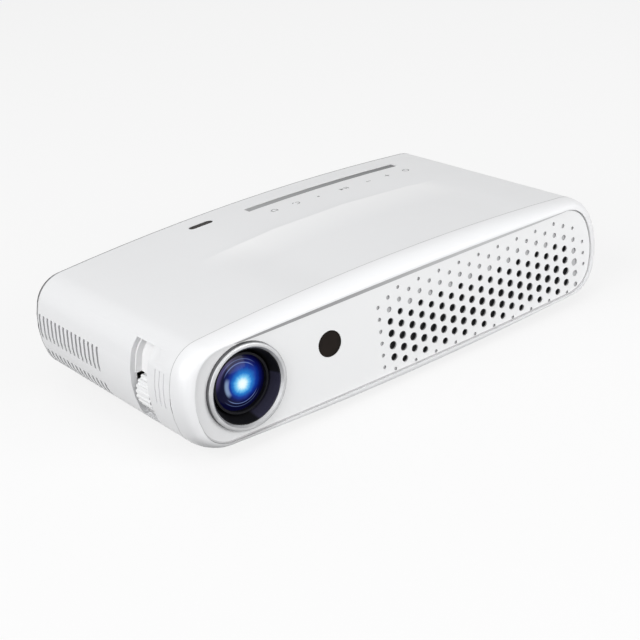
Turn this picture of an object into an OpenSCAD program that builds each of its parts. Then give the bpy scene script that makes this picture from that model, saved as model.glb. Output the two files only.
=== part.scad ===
// Pocket-format projector with a slim disc drive that opens at its right end.
// Front faces -Y, lens towards -X, +Z up. The rubber feet stand on z = 0.

/* [Housing] */
// Overall width of the housing
body_w = 250; // [244:1:256]
// Depth of the housing, bezel nose to rear face
body_d = 142; // [140:1:150]
// Height of the housing at its middle, without the feet
body_h = 59; // [57:0.5:62]
// Radius of the long corners of the cross-section
corner_r = 17; // [15:0.5:19]
// How far the top and bottom rise from the corners to the middle
crown = 4.6; // [3.5:0.1:5.5]
// How far the ends bulge beyond the corners
end_bulge = 1.3; // [0.8:0.1:2]
// Wall of the two shells
wall = 2.2; // [1.8:0.1:2.6]
// Height of the case seam above mid-height
seam_up = 9; // [7:0.5:10]
// Depth of the rear panel's rounded rim
rear_d = 5; // [4:0.5:6]
// How far the rear panel's rim draws in
rear_draw = 4.1; // [3:0.1:5]
// Gap between two housing pieces that fit in each other
fit_gap = 0.15; // [0.1:0.05:0.25]

/* [Front] */
// Depth of the rounded bezel, nose to shell
bezel_d = 10; // [8:0.5:12]
// Width of the front panel
panel_w = 237; // [232:1:239]
// Height of the front panel at its middle
panel_h = 47; // [46:0.5:49]
// Drop of the panel's middle below mid-height
panel_down = 0.8; // [0:0.1:1.2]
// Corner radius of the front panel
panel_r = 15; // [12:0.5:17]
// Crown of the front panel
panel_crown = 1.3; // [0.8:0.1:2]
// Thickness of the front panel
panel_t = 2.4; // [2:0.1:3]
// Depth of the panel's face behind the bezel's nose
panel_set = 1; // [0.3:0.1:1.2]
// Width of the bezel's nose round the panel
nose_lip = 0.6; // [0.4:0.1:1]
// Width of the ledge that carries the panel
ledge_w = 1.7; // [1.2:0.1:1.9]
// Thickness of the ledge
ledge_t = 1.6; // [1.2:0.1:2]
// Radius of the front sensor window
ir_r = 6.2; // [5:0.1:7]
// Place of the sensor window across the front
ir_x = -45.8; // [-50:0.2:-38]
// Height of the sensor window above mid-height
ir_up = 3.2; // [0:0.2:6]

/* [Grille] */
// Column pitch of the perforations
hole_pitch = 6.2; // [5.8:0.05:6.3]
// Row pitch of the perforations
row_pitch = 6.05; // [5.6:0.05:6.2]
// First full column, measured from the middle of the housing
hole_x0 = -10.9; // [-12:0.1:-8]
// Number of full columns
hole_columns = 19; // [14:1:19]
// Radius of the largest perforation
hole_r = 2.08; // [1.7:0.02:2.2]
// Middle row of the perforations below mid-height
hole_drop = 4.3; // [3.8:0.1:4.8]
// Loss of radius per millimetre away from that row
hole_fade = 0.033; // [0.02:0.001:0.04]
// Radius of the largest blind dimple
dimple_r = 1.4; // [1.2:0.05:1.5]
// Depth of the blind dimples
dimple_d = 0.8; // [0.5:0.1:1.2]
// Thickness of the dust mesh behind the perforations
mesh_t = 0.6; // [0.4:0.1:1]

/* [Top] */
// Length of the crest line on the top
crest_len = 140; // [120:2:150]
// Height of the crest in its middle
crest_h = 1.8; // [1:0.1:2.4]
// Place of the crest behind the bezel's nose
crest_back = 82; // [76:1:88]
// Length of the light bar's groove
groove_len = 98; // [80:1:104]
// Width of the groove
groove_w = 6; // [4:0.5:8]
// Depth of the groove
groove_d = 1.2; // [0.8:0.1:1.4]
// Place of the groove behind the bezel's nose
groove_back = 121; // [116:1:124]
// Length of the small window beside the groove
pill_len = 14; // [10:0.5:18]
// Width of the small window
pill_w = 4.6; // [3.5:0.1:6]

/* [Vents] */
// Number of slots in each row on the left end
slot_count = 15; // [8:1:15]
// Pitch of the slots
slot_pitch = 4.2; // [3.8:0.1:4.2]
// Width of one slot
slot_w = 1.7; // [1.2:0.1:2.2]
// First slot, behind the bezel's nose
slot_back = 75.5; // [74:0.5:77]
// Height of an upper slot
slot_h = 12.4; // [8:0.2:12.4]
// Height of a lower slot
slot_low_h = 10.5; // [8:0.5:11]

/* [Optics] */
// Lens axis across the front
lens_x = -92; // [-92.4:0.1:-91.5]
// Lens axis above mid-height
lens_up = 0; // [-0.3:0.1:0.3]
// Outer radius of the trim ring
trim_r = 20.3; // [19.5:0.1:20.4]
// Inner radius of the trim ring
trim_bore = 17.6; // [17.4:0.1:18.4]
// How far the trim ring stands in front of the bezel's nose
trim_proud = 1.5; // [0.5:0.1:2.5]
// Outer radius of the focusing barrel
barrel_r = 12.6; // [12.3:0.1:12.7]
// Length of the focusing barrel
barrel_len = 41.5; // [38:0.5:42.5]
// Radius of the barrel's wide head, which carries the front glass
head_r = 14.2; // [13.6:0.1:14.6]
// Length of the barrel's head
head_len = 8; // [6.5:0.5:9]
// Travel of the barrel each way from rest
focus_travel = 2.5; // [1:0.1:2.5]
// Radial running clearance of shafts and the barrel
run_gap = 0.05; // [0.03:0.01:0.08]
// Wall of the barrel's holder
holder_wall = 1.35; // [1.2:0.05:1.4]
// Gear module of the focus train
gear_m = 0.7; // [0.69:0.005:0.71]
// Teeth on the focus ring
ring_teeth = 51; // [50:1:52]
// Teeth on the thumbwheel's pinion
pinion_teeth = 16; // [15:1:17]
// Width of the gear faces
gear_w = 4; // [3:0.5:4.5]
// Radius of the thumbwheel's knurled drum
drum_r = 9.3; // [9:0.1:9.3]
// Width of the drum
drum_w = 12; // [8:0.5:12]
// Number of grip flutes on the drum
drum_flutes = 22; // [16:1:26]
// Height of the thumbwheel's axle below mid-height
wheel_drop = 5; // [4:0.5:6]
// Front end of the drum, behind the bezel's nose
wheel_back = 31; // [30.5:0.5:32]
// Radius of the thumbwheel's axle
axle_r = 2; // [1.5:0.1:2.5]

// Radius of the thumb scoop ahead of the wheel's window
scoop_r = 12; // [10:0.5:16]
// Depth of the thumb scoop
scoop_d = 1.2; // [0.6:0.1:1.4]
// Height of the thumb scoop up the housing's corner, in degrees
scoop_turn = 38; // [30:1:50]
// Depth of the three upright grip grooves beside the bezel
grip_d = 0.35; // [0.2:0.05:0.6]

/* [Cooling] */
// Side of the square fan frame
fan_side = 40; // [36:1:40]
// Thickness of the fan
fan_t = 10; // [8:0.5:10]
// Number of fan blades
fan_blades = 7; // [5:1:9]
// Number of heat sink fins
fin_count = 12; // [6:1:12]

/* [Disc drive] */
// Length of the drive's chassis, along X
drive_len = 131; // [130:0.5:132]
// Height of the drive
drive_h = 12.7; // [12.7:0.1:13.5]
// Underside of the drive above the ground
drive_z = 19.2; // [18.4:0.1:19.6]
// Sheet thickness of the drive's pan and lid
sheet_t = 0.8; // [0.6:0.1:1]
// Sliding gap round the drive's rails
rail_gap = 0.2; // [0.1:0.05:0.25]
// Thickness of a rail
rail_t = 1.9; // [1.6:0.1:2.1]
// Diameter of the disc well
well_dia = 121; // [120.6:0.1:121.2]
// Depth of the disc well below the tray's rim
well_d = 1.5; // [1:0.1:1.8]
// Thickness of the tray under the well
tray_t = 5.9; // [5.7:0.1:6]
// Travel of the tray
tray_travel = 128; // [100:1:128]
// Radius of the hub that centres the disc
hub_r = 7.4; // [7:0.05:7.45]
// Radius of the turntable
table_r = 14; // [12:0.5:15]
// Radius of the two pickup guide rods
rod_r = 1; // [0.8:0.1:1.2]
// Travel of the pickup along its rods
pickup_travel = 30; // [24:1:30]

/* [Sockets] */
// Bore radius of the 3.5 mm audio jack
jack_bore = 1.8; // [1.78:0.01:1.85]
// Bore radius of the power inlet
inlet_bore = 2.85; // [2.75:0.05:3]
// Bore radius of the tripod insert, for a quarter-inch thread
tripod_bore = 2.6; // [2.5:0.05:2.7]
// Length of the tripod insert
tripod_len = 9; // [7:0.5:10]
// Radius of a rubber foot
foot_r = 6; // [4.5:0.5:7]
// Height of the housing's lowest point above the ground
foot_h = 1.5; // [1:0.1:2.5]

/* [Hidden] */
$fn = 48;
eps = 0.02;

// places that follow from the driving sizes
nose_y = -(body_d + trim_proud) / 2 + trim_proud;
back_y = nose_y + body_d;
mid_z = foot_h + body_h / 2;
seam_z = mid_z + seam_up;
shell_y0 = nose_y + bezel_d;
shell_y1 = back_y - rear_d;
far = 2 * body_w;

// ---- outline: four corner arcs joined by shallow arcs, all tangent ----
// radius of the shallow arc that rises by `rise` over half a span, next to a corner of radius r
function bow_r(span, rise, r) = (span * span + 2 * r * rise + rise * rise) / (2 * rise);
function arc_pts(cx, cy, r, a0, a1, n) =
    [for (i = [0:n - 1]) let (a = a0 + (a1 - a0) * i / n) [cx + r * cos(a), cy + r * sin(a)]];
function outline(w, h, r, rise, bulge) =
    let (kx = w / 2 - r - bulge, ky = h / 2 - r - rise,
         rt = bow_r(kx, rise, r), re = bow_r(ky, bulge, r),
         ty = h / 2 - rt, ex = w / 2 - re,
         at = atan2(kx, ky - ty), ae = atan2(ky, kx - ex))
    concat(arc_pts(ex, 0, re, -ae, ae, 4), arc_pts(kx, ky, r, ae, 90 - at, 7),
        arc_pts(0, ty, rt, 90 - at, 90 + at, 12), arc_pts(-kx, ky, r, 90 + at, 180 - ae, 7),
        arc_pts(-ex, 0, re, 180 - ae, 180 + ae, 4), arc_pts(-kx, -ky, r, 180 + ae, 270 - at, 7),
        arc_pts(0, -ty, rt, 270 - at, 270 + at, 12), arc_pts(kx, -ky, r, 270 + at, 360 - ae, 7));

// a slab of the housing's outline, drawn in by `inset`, from y0 to y1
module body_slab(y0, y1, inset = 0)
    translate([0, y1, mid_z]) rotate([90, 0, 0]) linear_extrude(y1 - y0)
        polygon(outline(body_w - 2 * inset, body_h - 2 * inset, corner_r - inset, crown, end_bulge));
// the same for the front panel's outline
module panel_slab(y0, y1, inset = 0)
    translate([0, y1, mid_z - panel_down]) rotate([90, 0, 0]) linear_extrude(y1 - y0)
        polygon(outline(panel_w - 2 * inset, panel_h - 2 * inset, panel_r - inset, panel_crown, end_bulge));
// one thin slice on the way from the panel's outline (k = 1) to the housing's (k = 0)
module bezel_slice(y, k) {
    nose_w = panel_w + 2 * (fit_gap + nose_lip);
    nose_h = panel_h + 2 * (fit_gap + nose_lip);
    nose_r = panel_r + fit_gap + nose_lip;
    translate([0, y + eps, mid_z - k * panel_down]) rotate([90, 0, 0]) linear_extrude(eps)
        polygon(outline(body_w + k * (nose_w - body_w), body_h + k * (nose_h - body_h),
            corner_r + k * (nose_r - corner_r), crown + k * (panel_crown - crown), end_bulge));
}
module box(x0, x1, y0, y1, z0, z1) translate([x0, y0, z0]) cube([x1 - x0, y1 - y0, z1 - z0]);
module rod_x(x0, x1, y, z, r) translate([x0, y, z]) rotate([0, 90, 0]) cylinder(h = x1 - x0, r = r);
module rod_y(y0, y1, x, z, r) translate([x, y1, z]) rotate([90, 0, 0]) cylinder(h = y1 - y0, r = r);
module rod_z(z0, z1, x, y, r) translate([x, y, z0]) cylinder(h = z1 - z0, r = r);
module ring_y(y0, y1, x, z, r, bore) difference() {
    rod_y(y0, y1, x, z, r);
    rod_y(y0 - 1, y1 + 1, x, z, bore);
}
// height of the housing's top at x, above mid-height
function top_at(x, inset = 0) =
    let (rt = bow_r(body_w / 2 - corner_r - end_bulge, crown, corner_r))
    body_h / 2 - rt + sqrt((rt - inset) * (rt - inset) - x * x);
white = [0.93, 0.93, 0.94];

// ---- housing ----
groove_y = nose_y + groove_back;
groove_x0 = -7;
pill_x = -33;
pill_y = nose_y + 124;
touch_x0 = -6;
touch_x1 = groove_x0 + groove_len;
touch_y0 = nose_y + 98;
touch_y1 = groove_y + 6;
touch_z = mid_z + top_at(touch_x1, wall) - 1;
touch_t = 1.2;
post_r = 3.2;
case_screw_at = [for (x = [-62, -26], y = [shell_y0 + 7, shell_y1 - 7]) [x, y]];
case_screw_r = 1.5;

module pill(z0, z1, gap) {
    rod_z(z0, z1, pill_x - (pill_len - pill_w) / 2, pill_y, pill_w / 2 - gap);
    rod_z(z0, z1, pill_x + (pill_len - pill_w) / 2, pill_y, pill_w / 2 - gap);
    box(pill_x - (pill_len - pill_w) / 2, pill_x + (pill_len - pill_w) / 2,
        pill_y - pill_w / 2 + gap, pill_y + pill_w / 2 - gap, z0, z1);
}
module crest_cap() {
    rt = bow_r(body_w / 2 - corner_r - end_bulge, crown, corner_r);
    cap_r = 1 / (8 * crest_h / (crest_len * crest_len) + 1 / rt);
    crest_y = nose_y + crest_back;
    intersection() {
        translate([5, crest_y, mid_z + body_h / 2 + crest_h - cap_r]) sphere(r = cap_r, $fn = 96);
        box(5 - crest_len / 2, 5 + crest_len / 2, crest_y - 45, crest_y, seam_z + 8, mid_z + body_h);
    }
}
// window in the left end for the thumbwheel
recess_y0 = nose_y + wheel_back - 1.8;
recess_y1 = nose_y + wheel_back + drum_w + 1.2;
recess_low = 17;
recess_high = 20.5;
module recess_window()
    box(-body_w, -body_w / 2 + 20, recess_y0, recess_y1, mid_z - recess_low, mid_z + recess_high);
// shallow scoop that leads the thumb to the window, and fine upright grooves beside the bezel
module thumb_scoop() translate([-body_w / 2 + corner_r + end_bulge, recess_y0 - 2,
        mid_z + body_h / 2 - corner_r - crown])
    rotate([0, scoop_turn, 0]) translate([-(corner_r + scoop_r - scoop_d), 0, 0]) sphere(r = scoop_r, $fn = 64);
module grip_grooves() for (i = [0:2]) difference() {
    box(-body_w, -body_w / 4, recess_y0 - 7.2 - 3.7 * i, recess_y0 - 6.2 - 3.7 * i, mid_z - 3, mid_z + 13);
    body_slab(recess_y0 - 9 - 3.7 * i, recess_y0 - 5 - 3.7 * i, grip_d);
}

module top_cover() color(white) difference() {
    union() {
        difference() {
            union() {
                body_slab(shell_y0, shell_y1);
                crest_cap();
            }
            body_slab(shell_y0 - 1, shell_y1 + 1, wall);
        }
        intersection() {
            body_slab(shell_y0, shell_y1, wall / 2);
            union() {
                for (p = case_screw_at) rod_z(seam_z, mid_z + body_h, p[0], p[1], post_r);
                for (x = [touch_x0 + 4, touch_x1 - 4], y = [touch_y0 + 3, touch_y1 - 3])
                    rod_z(touch_z, mid_z + body_h, x, y, 2);
            }
        }
    }
    box(-far, far, -far, far, -far, seam_z);
    // groove that follows the crown
    difference() {
        box(groove_x0, groove_x0 + groove_len, groove_y - groove_w / 2, groove_y + groove_w / 2, mid_z, far);
        body_slab(groove_y - groove_w, groove_y + groove_w, groove_d);
    }
    pill(mid_z, far, 0);
    recess_window();
    grip_grooves();
    thumb_scoop();
    for (p = case_screw_at) rod_z(seam_z - 1, seam_z + 8, p[0], p[1], case_screw_r - 0.2);
}

foot_at = [for (x = [-90, 90], y = [-48, 50]) [x, y]];
foot_seat = mid_z - top_at(90) + 1.2;
tray_side = 0.65;
rail_out = 0.6;
guide_t = 0.9;
tray_half = well_dia / 2 + tray_side;
mouth_half = tray_half + rail_out + 0.3;
drive_half = tray_half + rail_out + guide_t + sheet_t;
drive_y = (shell_y0 + shell_y1) / 2;
drive_y0 = drive_y - drive_half;
drive_y1 = drive_y + drive_half;
drive_x1 = body_w / 2 - 7.4;
drive_x0 = drive_x1 - drive_len;
drive_top = drive_z + drive_h;
mouth_z0 = drive_z + 0.3;
mouth_z1 = drive_top - 0.3;
engine_x0 = lens_x - 19.5;
engine_x1 = lens_x + 20;
sink_x = lens_x + 3;
engine_y0 = nose_y + 51;
engine_y1 = engine_y0 + 32;
engine_z0 = mid_z - 18;
engine_z1 = mid_z + 18;
sink_y0 = engine_y1 + 6;
sink_y1 = sink_y0 + 40.8;
fan_x0 = -body_w / 2 + 10.5;
fan_y = sink_y0 + 16;
board_z = drive_top + 4.1;
board_t = 1.6;
board_x0 = -55;
board_x1 = 108;
board_y0 = -46;
board_y1 = back_y - 6;
stand_left = [[-48, board_y0 + 7], [-48, board_y1 - 8]];
stand_right = [[96, board_y0 + 7], [96, board_y1 - 8]];
drive_post_at = [for (x = [drive_x0 + 12, drive_x1 - 14], y = [drive_y0 + 10, drive_y1 - 10]) [x, y]];
engine_post_at = [for (x = [engine_x0 + 7, engine_x1 - 7], y = [engine_y0 + 7, engine_y1 - 7]) [x, y]];
sink_post_at = [for (y = [sink_y0 + 8, sink_y1 - 8]) [sink_x, y]];
wheel_z = mid_z - wheel_drop;
gear_gap = 0.1;
centre_d = gear_m * (ring_teeth + pinion_teeth) / 2 + gear_gap;
wheel_x = lens_x - sqrt(pow(centre_d, 2) - pow(lens_up + wheel_drop, 2));
lens_z = mid_z + lens_up;
axle_y0 = nose_y + wheel_back - 2.5;
axle_y1 = nose_y + wheel_back + drum_w + gear_w + 4.2;
rib_t = 1.8;
rear_screw_at = [for (x = [-104, -34, 104]) [x, mid_z - 16]];
rear_screw_r = 1.25;
cup_y1 = nose_y + wheel_back + drum_w + 0.9;
cup_d = 5.2;
// block behind the thumbwheel's window, deep round the drum and shallow over its pinion
module recess_block(gap) intersection() {
    difference() {
        body_slab(recess_y0 - 1.4 - gap, recess_y1 + 1.4 + gap, wall + 0.1 - gap);
        body_slab(recess_y0 - 2, cup_y1 + gap, cup_d + 1 + gap);
        body_slab(cup_y1 + gap - eps, recess_y1 + 2, wall + 0.9 + gap);
    }
    box(-body_w, -body_w / 2 + 22, recess_y0 - 1.4 - gap, recess_y1 + 1.4 + gap,
        mid_z - recess_low - 1.5 - gap, mid_z + recess_high + 1.5 + gap);
}
// spigot that steps into the shells, open where the drive passes
module spigot(y0, y1) difference() {
    body_slab(y0, y1, wall + 0.1);
    body_slab(y0 - 1, y1 + 1, wall + 1.2);
    box(drive_x0 - 1, body_w, y0 - 2, y1 + 2, drive_z - 1, drive_top + 1);
}

module bottom_case() color(white) difference() {
    union() {
        difference() {
            body_slab(shell_y0, shell_y1);
            body_slab(shell_y0 - 1, shell_y1 + 1, wall);
        }
        intersection() {
            body_slab(shell_y0, shell_y1, wall / 2);
            union() {
                for (p = case_screw_at) rod_z(0, seam_z, p[0], p[1], post_r);
                for (p = drive_post_at) rod_z(0, drive_z, p[0], p[1], post_r);
                for (p = engine_post_at) rod_z(0, engine_z0, p[0], p[1], post_r);
                for (p = sink_post_at) rod_z(0, engine_z0, p[0], p[1], post_r);
                for (p = stand_left) rod_z(0, foot_h + 5, p[0], p[1], post_r);
                for (p = foot_at) rod_z(0, foot_seat + 2, p[0], p[1], foot_r + 1.5);
                rod_z(0, foot_h + tripod_len + 2, 0, 0, 8);
                // cradle under the fan
                for (x = [fan_x0 + 1, fan_x0 + fan_t - 3])
                    box(x, x + 2, fan_y - fan_side / 2 + 4, fan_y + fan_side / 2 - 4, 0, mid_z - fan_side / 2);
                // two ribs that carry the thumbwheel's axle
                difference() {
                    for (y = [axle_y0, axle_y1 - rib_t])
                        box(wheel_x - 3.2, wheel_x + 3.2, y, y + rib_t, 0, wheel_z + 3.5);
                    recess_block(0.1);
                }
                // bosses for the rear panel's screws
                for (p = rear_screw_at) {
                    rod_y(shell_y1 - 7, shell_y1, p[0], p[1], 3);
                    box(p[0] - 1.2, p[0] + 1.2, shell_y1 - 7, shell_y1, 0, p[1]);
                }
            }
        }
    }
    box(-far, far, -far, far, seam_z, far);
    // two rows of vent slots on the left end
    for (i = [0:slot_count - 1]) {
        y = nose_y + slot_back + i * slot_pitch;
        box(-body_w, -body_w / 2 + 8, y - slot_w / 2, y + slot_w / 2, mid_z - 4, mid_z - 4 + slot_h);
        box(-body_w, -body_w / 2 + 14, y - slot_w / 2, y + slot_w / 2, mid_z - 21, mid_z - 21 + slot_low_h);
    }
    // air inlet slots in the floor under the fins
    for (i = [0:6]) box(lens_x + 22 + 4 * i, lens_x + 24 + 4 * i, -20, 20, 0, mid_z - body_h / 2 + 4);
    recess_window();
    grip_grooves();
    // mouth of the disc tray
    box(body_w / 2 - 12, body_w, drive_y - mouth_half, drive_y + mouth_half, mouth_z0, mouth_z1);
    for (p = rear_screw_at) rod_y(shell_y1 - 8, shell_y1 + 1, p[0], p[1], rear_screw_r + 0.02);
    for (p = case_screw_at) {
        rod_z(0, seam_z + 1, p[0], p[1], case_screw_r + 0.2);
        rod_z(0, foot_h + 9, p[0], p[1], 2.9);
    }
    for (p = foot_at) rod_z(0, foot_seat, p[0], p[1], foot_r + fit_gap);
    rod_z(0, foot_h + tripod_len, 0, 0, 5 + run_gap);
    rod_y(axle_y0 - 1, axle_y1 + 1, wheel_x, wheel_z, axle_r + 0.02);
}

module front_bezel() color([0.97, 0.97, 0.98]) {
    difference() {
        hull() for (a = [0:15:90]) bezel_slice(nose_y + (bezel_d - eps) * (1 - cos(a)), 1 - sin(a));
        panel_slab(nose_y - 1, nose_y + panel_set + panel_t, -fit_gap);
        panel_slab(nose_y, nose_y + panel_set + panel_t + ledge_t + eps, ledge_w);
        body_slab(nose_y + panel_set + panel_t + ledge_t, nose_y + bezel_d + 1, wall + 0.5);
    }
    spigot(shell_y0 - 3, shell_y0 + 2);
}

face_y = nose_y + panel_set;
inner_y = face_y + panel_t;
// a hole is kept where it lies inside the panel with a margin
function inside_panel(x, z, margin) =
    let (kx = panel_w / 2 - panel_r - end_bulge, ky = panel_h / 2 - panel_r - panel_crown,
         dx = max(abs(x) - kx, 0), dz = max(abs(z + panel_down) - ky, 0))
    norm([dx, dz]) < panel_r - margin;
// rows of even and odd columns are staggered by half a pitch; k counts pitches above the middle row
function row_k(i, j) = j + (i % 2 == 0 ? 0 : 0.5);
function row_z(k) = row_pitch * k - hole_drop;
function is_open(k) = abs(k + 0.5) < 2.1;
module perforations() for (i = [0:hole_columns - 1], j = [-3:3]) {
    k = row_k(i, j);
    x = hole_x0 + i * hole_pitch;
    if (is_open(k) && inside_panel(x, row_z(k), 3.6))
        rod_y(face_y - 1, inner_y + 1, x, mid_z + row_z(k), hole_r - hole_fade * abs(row_pitch * k + 5.5));
}
module dimple(x, z, r) rod_y(face_y - 1, face_y + dimple_d, x, mid_z + z, r);
module dimples() {
    for (i = [0:hole_columns - 1], j = [-3:3]) {
        k = row_k(i, j);
        x = hole_x0 + i * hole_pitch;
        if (!is_open(k) && inside_panel(x, row_z(k), 1.6))
            dimple(x, row_z(k), k > 0 ? dimple_r - 0.055 * row_pitch * (k - 2) : 0.95);
    }
    // fading columns at the two sides
    for (k = [-2.5:2.5]) dimple(hole_x0 - hole_pitch, row_z(k), 1.05 - 0.04 * abs(k));
    for (k = [-2.5:2.5]) dimple(hole_x0 + hole_columns * hole_pitch, row_z(k), 1.9 - 0.32 * abs(k + 0.6));
    for (k = [-1:1]) dimple(hole_x0 + (hole_columns + 1) * hole_pitch, row_z(k), 0.9);
}
module front_panel() color([0.95, 0.95, 0.96]) difference() {
    union() {
        panel_slab(face_y, inner_y);
        for (x = [ir_x - 9.5, ir_x + 9.5]) rod_y(inner_y - eps, inner_y + 5, x, mid_z + ir_up, 2);
    }
    rod_y(face_y - 1, inner_y + 1, lens_x, lens_z, trim_r + fit_gap);
    rod_y(face_y - 1, inner_y + 1, ir_x, mid_z + ir_up, ir_r + fit_gap);
    perforations();
    dimples();
}
module grille_mesh() color([0.12, 0.12, 0.13]) intersection() {
    panel_slab(inner_y, inner_y + mesh_t, ledge_w + fit_gap);
    box(hole_x0 - 10, far, inner_y, inner_y + mesh_t, 0, far);
}
module ir_window() color([0.1, 0.1, 0.09]) union() {
    rod_y(face_y, inner_y, ir_x, mid_z + ir_up, ir_r);
    rod_y(inner_y, inner_y + 1, ir_x, mid_z + ir_up, ir_r - 1);
}
module ir_receiver() color([0.1, 0.35, 0.2]) union() {
    box(ir_x - 12, ir_x + 12, inner_y + 5, inner_y + 6.2, mid_z + ir_up - 6, mid_z + ir_up + 6);
    rod_y(inner_y + 2, inner_y + 5.2, ir_x, mid_z + ir_up, 2.5);
}
module light_bar() color([0.72, 0.73, 0.75]) intersection() {
    difference() {
        body_slab(groove_y - groove_w, groove_y + groove_w, 0.4);
        body_slab(groove_y - 2 * groove_w, groove_y + 2 * groove_w, groove_d);
    }
    box(groove_x0 + fit_gap, groove_x0 + groove_len - fit_gap, groove_y - groove_w / 2 + fit_gap,
        groove_y + groove_w / 2 - fit_gap, mid_z + 10, far);
}
module top_window() color([0.15, 0.16, 0.18]) intersection() {
    difference() {
        body_slab(pill_y - pill_w, pill_y + pill_w, 0.2);
        body_slab(pill_y - 2 * pill_w, pill_y + 2 * pill_w, wall);
    }
    pill(mid_z + 10, far, fit_gap);
}
module touch_board() color([0.08, 0.3, 0.18])
    box(touch_x0, touch_x1, touch_y0, touch_y1, touch_z - touch_t, touch_z);

// ---- rear ----
rear_in = back_y - 2.4;
jack_x = -14;
usb_x = [14, 34];
hdmi_x = 62;
inlet_x = 90;
jack_z = board_z + board_t + 3.2;
inlet_z = board_z + board_t + 5.5;
module rear_panel() color([0.2, 0.2, 0.22]) difference() {
    union() {
        difference() {
            hull() for (a = [0:18:90])
                body_slab(shell_y1 + (rear_d - eps) * sin(a), shell_y1 + (rear_d - eps) * sin(a) + eps,
                    0.4 + rear_draw * (1 - cos(a)));
            body_slab(shell_y1 - 1, rear_in, wall + 0.4 + rear_draw * 0.6);
        }
        difference() {
            spigot(shell_y1 - 2, shell_y1 + 1);
            for (p = rear_screw_at) box(p[0] - 1.4, p[0] + 1.4, shell_y1 - 3, shell_y1, 0, p[1]);
        }
        for (p = rear_screw_at) rod_y(shell_y1, rear_in + 1, p[0], p[1], 3);
    }
    rod_y(rear_in - 1, back_y + 1, jack_x, jack_z, 3.1);
    for (x = usb_x) box(x - 7.4, x + 7.4, rear_in - 1, back_y + 1, socket_z - 0.2, socket_z + 7.2);
    box(hdmi_x - 7.8, hdmi_x + 7.8, rear_in - 1, back_y + 1, socket_z - 0.2, socket_z + 6.4);
    rod_y(rear_in - 1, back_y + 1, inlet_x, inlet_z, 4.6);
    for (p = rear_screw_at) {
        rod_y(shell_y1 - 1, back_y + 1, p[0], p[1], rear_screw_r + 0.2);
        rod_y(back_y - 1.8, back_y + 1, p[0], p[1], 2.8);
    }
    for (i = [0:8]) box(-104 + 5 * i, -101.6 + 5 * i, rear_in - 1, back_y + 1, mid_z - 9, mid_z + 12);
}
module rear_screws() color([0.3, 0.3, 0.32]) for (p = rear_screw_at) difference() {
    union() {
        rod_y(shell_y1 - 6, back_y - 1, p[0], p[1], rear_screw_r);
        rod_y(back_y - 1.8, back_y - 0.2, p[0], p[1], 2.6);
    }
    rod_y(back_y - 1.2, back_y + 1, p[0], p[1], 0.9);
}

// ---- underside ----
module rubber_feet() color([0.25, 0.25, 0.26]) for (p = foot_at) rod_z(0, foot_seat, p[0], p[1], foot_r);
module case_screws() color([0.35, 0.35, 0.37]) for (p = case_screw_at) difference() {
    union() {
        rod_z(foot_h + 9, seam_z + 7, p[0], p[1], case_screw_r - 0.25);
        rod_z(foot_h + 6.6, foot_h + 9, p[0], p[1], 2.7);
    }
    rod_z(foot_h + 6, foot_h + 8, p[0], p[1], 1);
}
module tripod_insert() color([0.78, 0.62, 0.32]) difference() {
    rod_z(foot_h + 0.2, foot_h + tripod_len, 0, 0, 5);
    rod_z(0, foot_h + tripod_len + 1, 0, 0, tripod_bore);
}

// ---- optics ----
hood_end = nose_y + 7.5;
holder_y0 = inner_y + ledge_t;
barrel_y0 = nose_y + 4.5;
barrel_y1 = barrel_y0 + barrel_len;
ring_y0 = nose_y + wheel_back + drum_w + 1.2;
flange_y = engine_y0 - 2.4;
holder_bore = barrel_r + run_gap;
holder_r = holder_bore + holder_wall;

module lens_trim_ring() color([0.8, 0.81, 0.83]) translate([lens_x, nose_y, lens_z]) rotate([90, 0, 0])
    rotate_extrude($fn = 96) polygon(concat(
        [[trim_bore, -(panel_set + panel_t)], [trim_r, -(panel_set + panel_t)]],
        [for (a = [0:15:90]) [trim_r - 0.9 + 0.9 * cos(a), trim_proud - 0.9 + 0.9 * sin(a)]],
        [[trim_bore + 0.9, trim_proud], [trim_bore, trim_proud - 1.2]]));
module lens_hood() color([0.06, 0.06, 0.07]) translate([lens_x, nose_y, lens_z]) rotate([90, 0, 0])
    rotate_extrude($fn = 96) polygon([
        [trim_bore - 0.5, 0], [trim_bore - fit_gap, 0], [trim_bore - fit_gap, -(panel_set + panel_t)],
        [trim_r - 0.5, -(panel_set + panel_t)], [trim_r - 0.5, -(panel_set + panel_t + ledge_t)],
        [trim_bore - fit_gap, -(panel_set + panel_t + ledge_t)], [trim_bore - fit_gap, nose_y - hood_end],
        [head_r + 0.6, nose_y - hood_end]]);
module lens_holder() color([0.16, 0.16, 0.17]) difference() {
    union() {
        rod_y(holder_y0, nose_y + 24, lens_x, lens_z, trim_r - 0.5);
        rod_y(nose_y + 23, flange_y + 1, lens_x, lens_z, holder_r);
        box(engine_x0, engine_x1, flange_y, engine_y0, lens_z - 17, lens_z + 17);
    }
    rod_y(holder_y0 - 1, nose_y + 22, lens_x, lens_z, trim_bore);
    rod_y(nose_y, engine_y0 + 1, lens_x, lens_z, holder_bore);
    for (x = [-1, 1], z = [-1, 1]) rod_y(flange_y - 1, engine_y0 + 1, lens_x + 17 * x, lens_z + 14 * z, 1.3);
}
module ring_clip() color([0.72, 0.73, 0.75]) difference() {
    ring_y(ring_y0 - 1.2, ring_y0 - 0.3, lens_x, lens_z, holder_r + 2, holder_r);
    box(lens_x - 3, lens_x + 3, ring_y0 - 2, ring_y0 + 1, lens_z - 30, lens_z);
}
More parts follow.
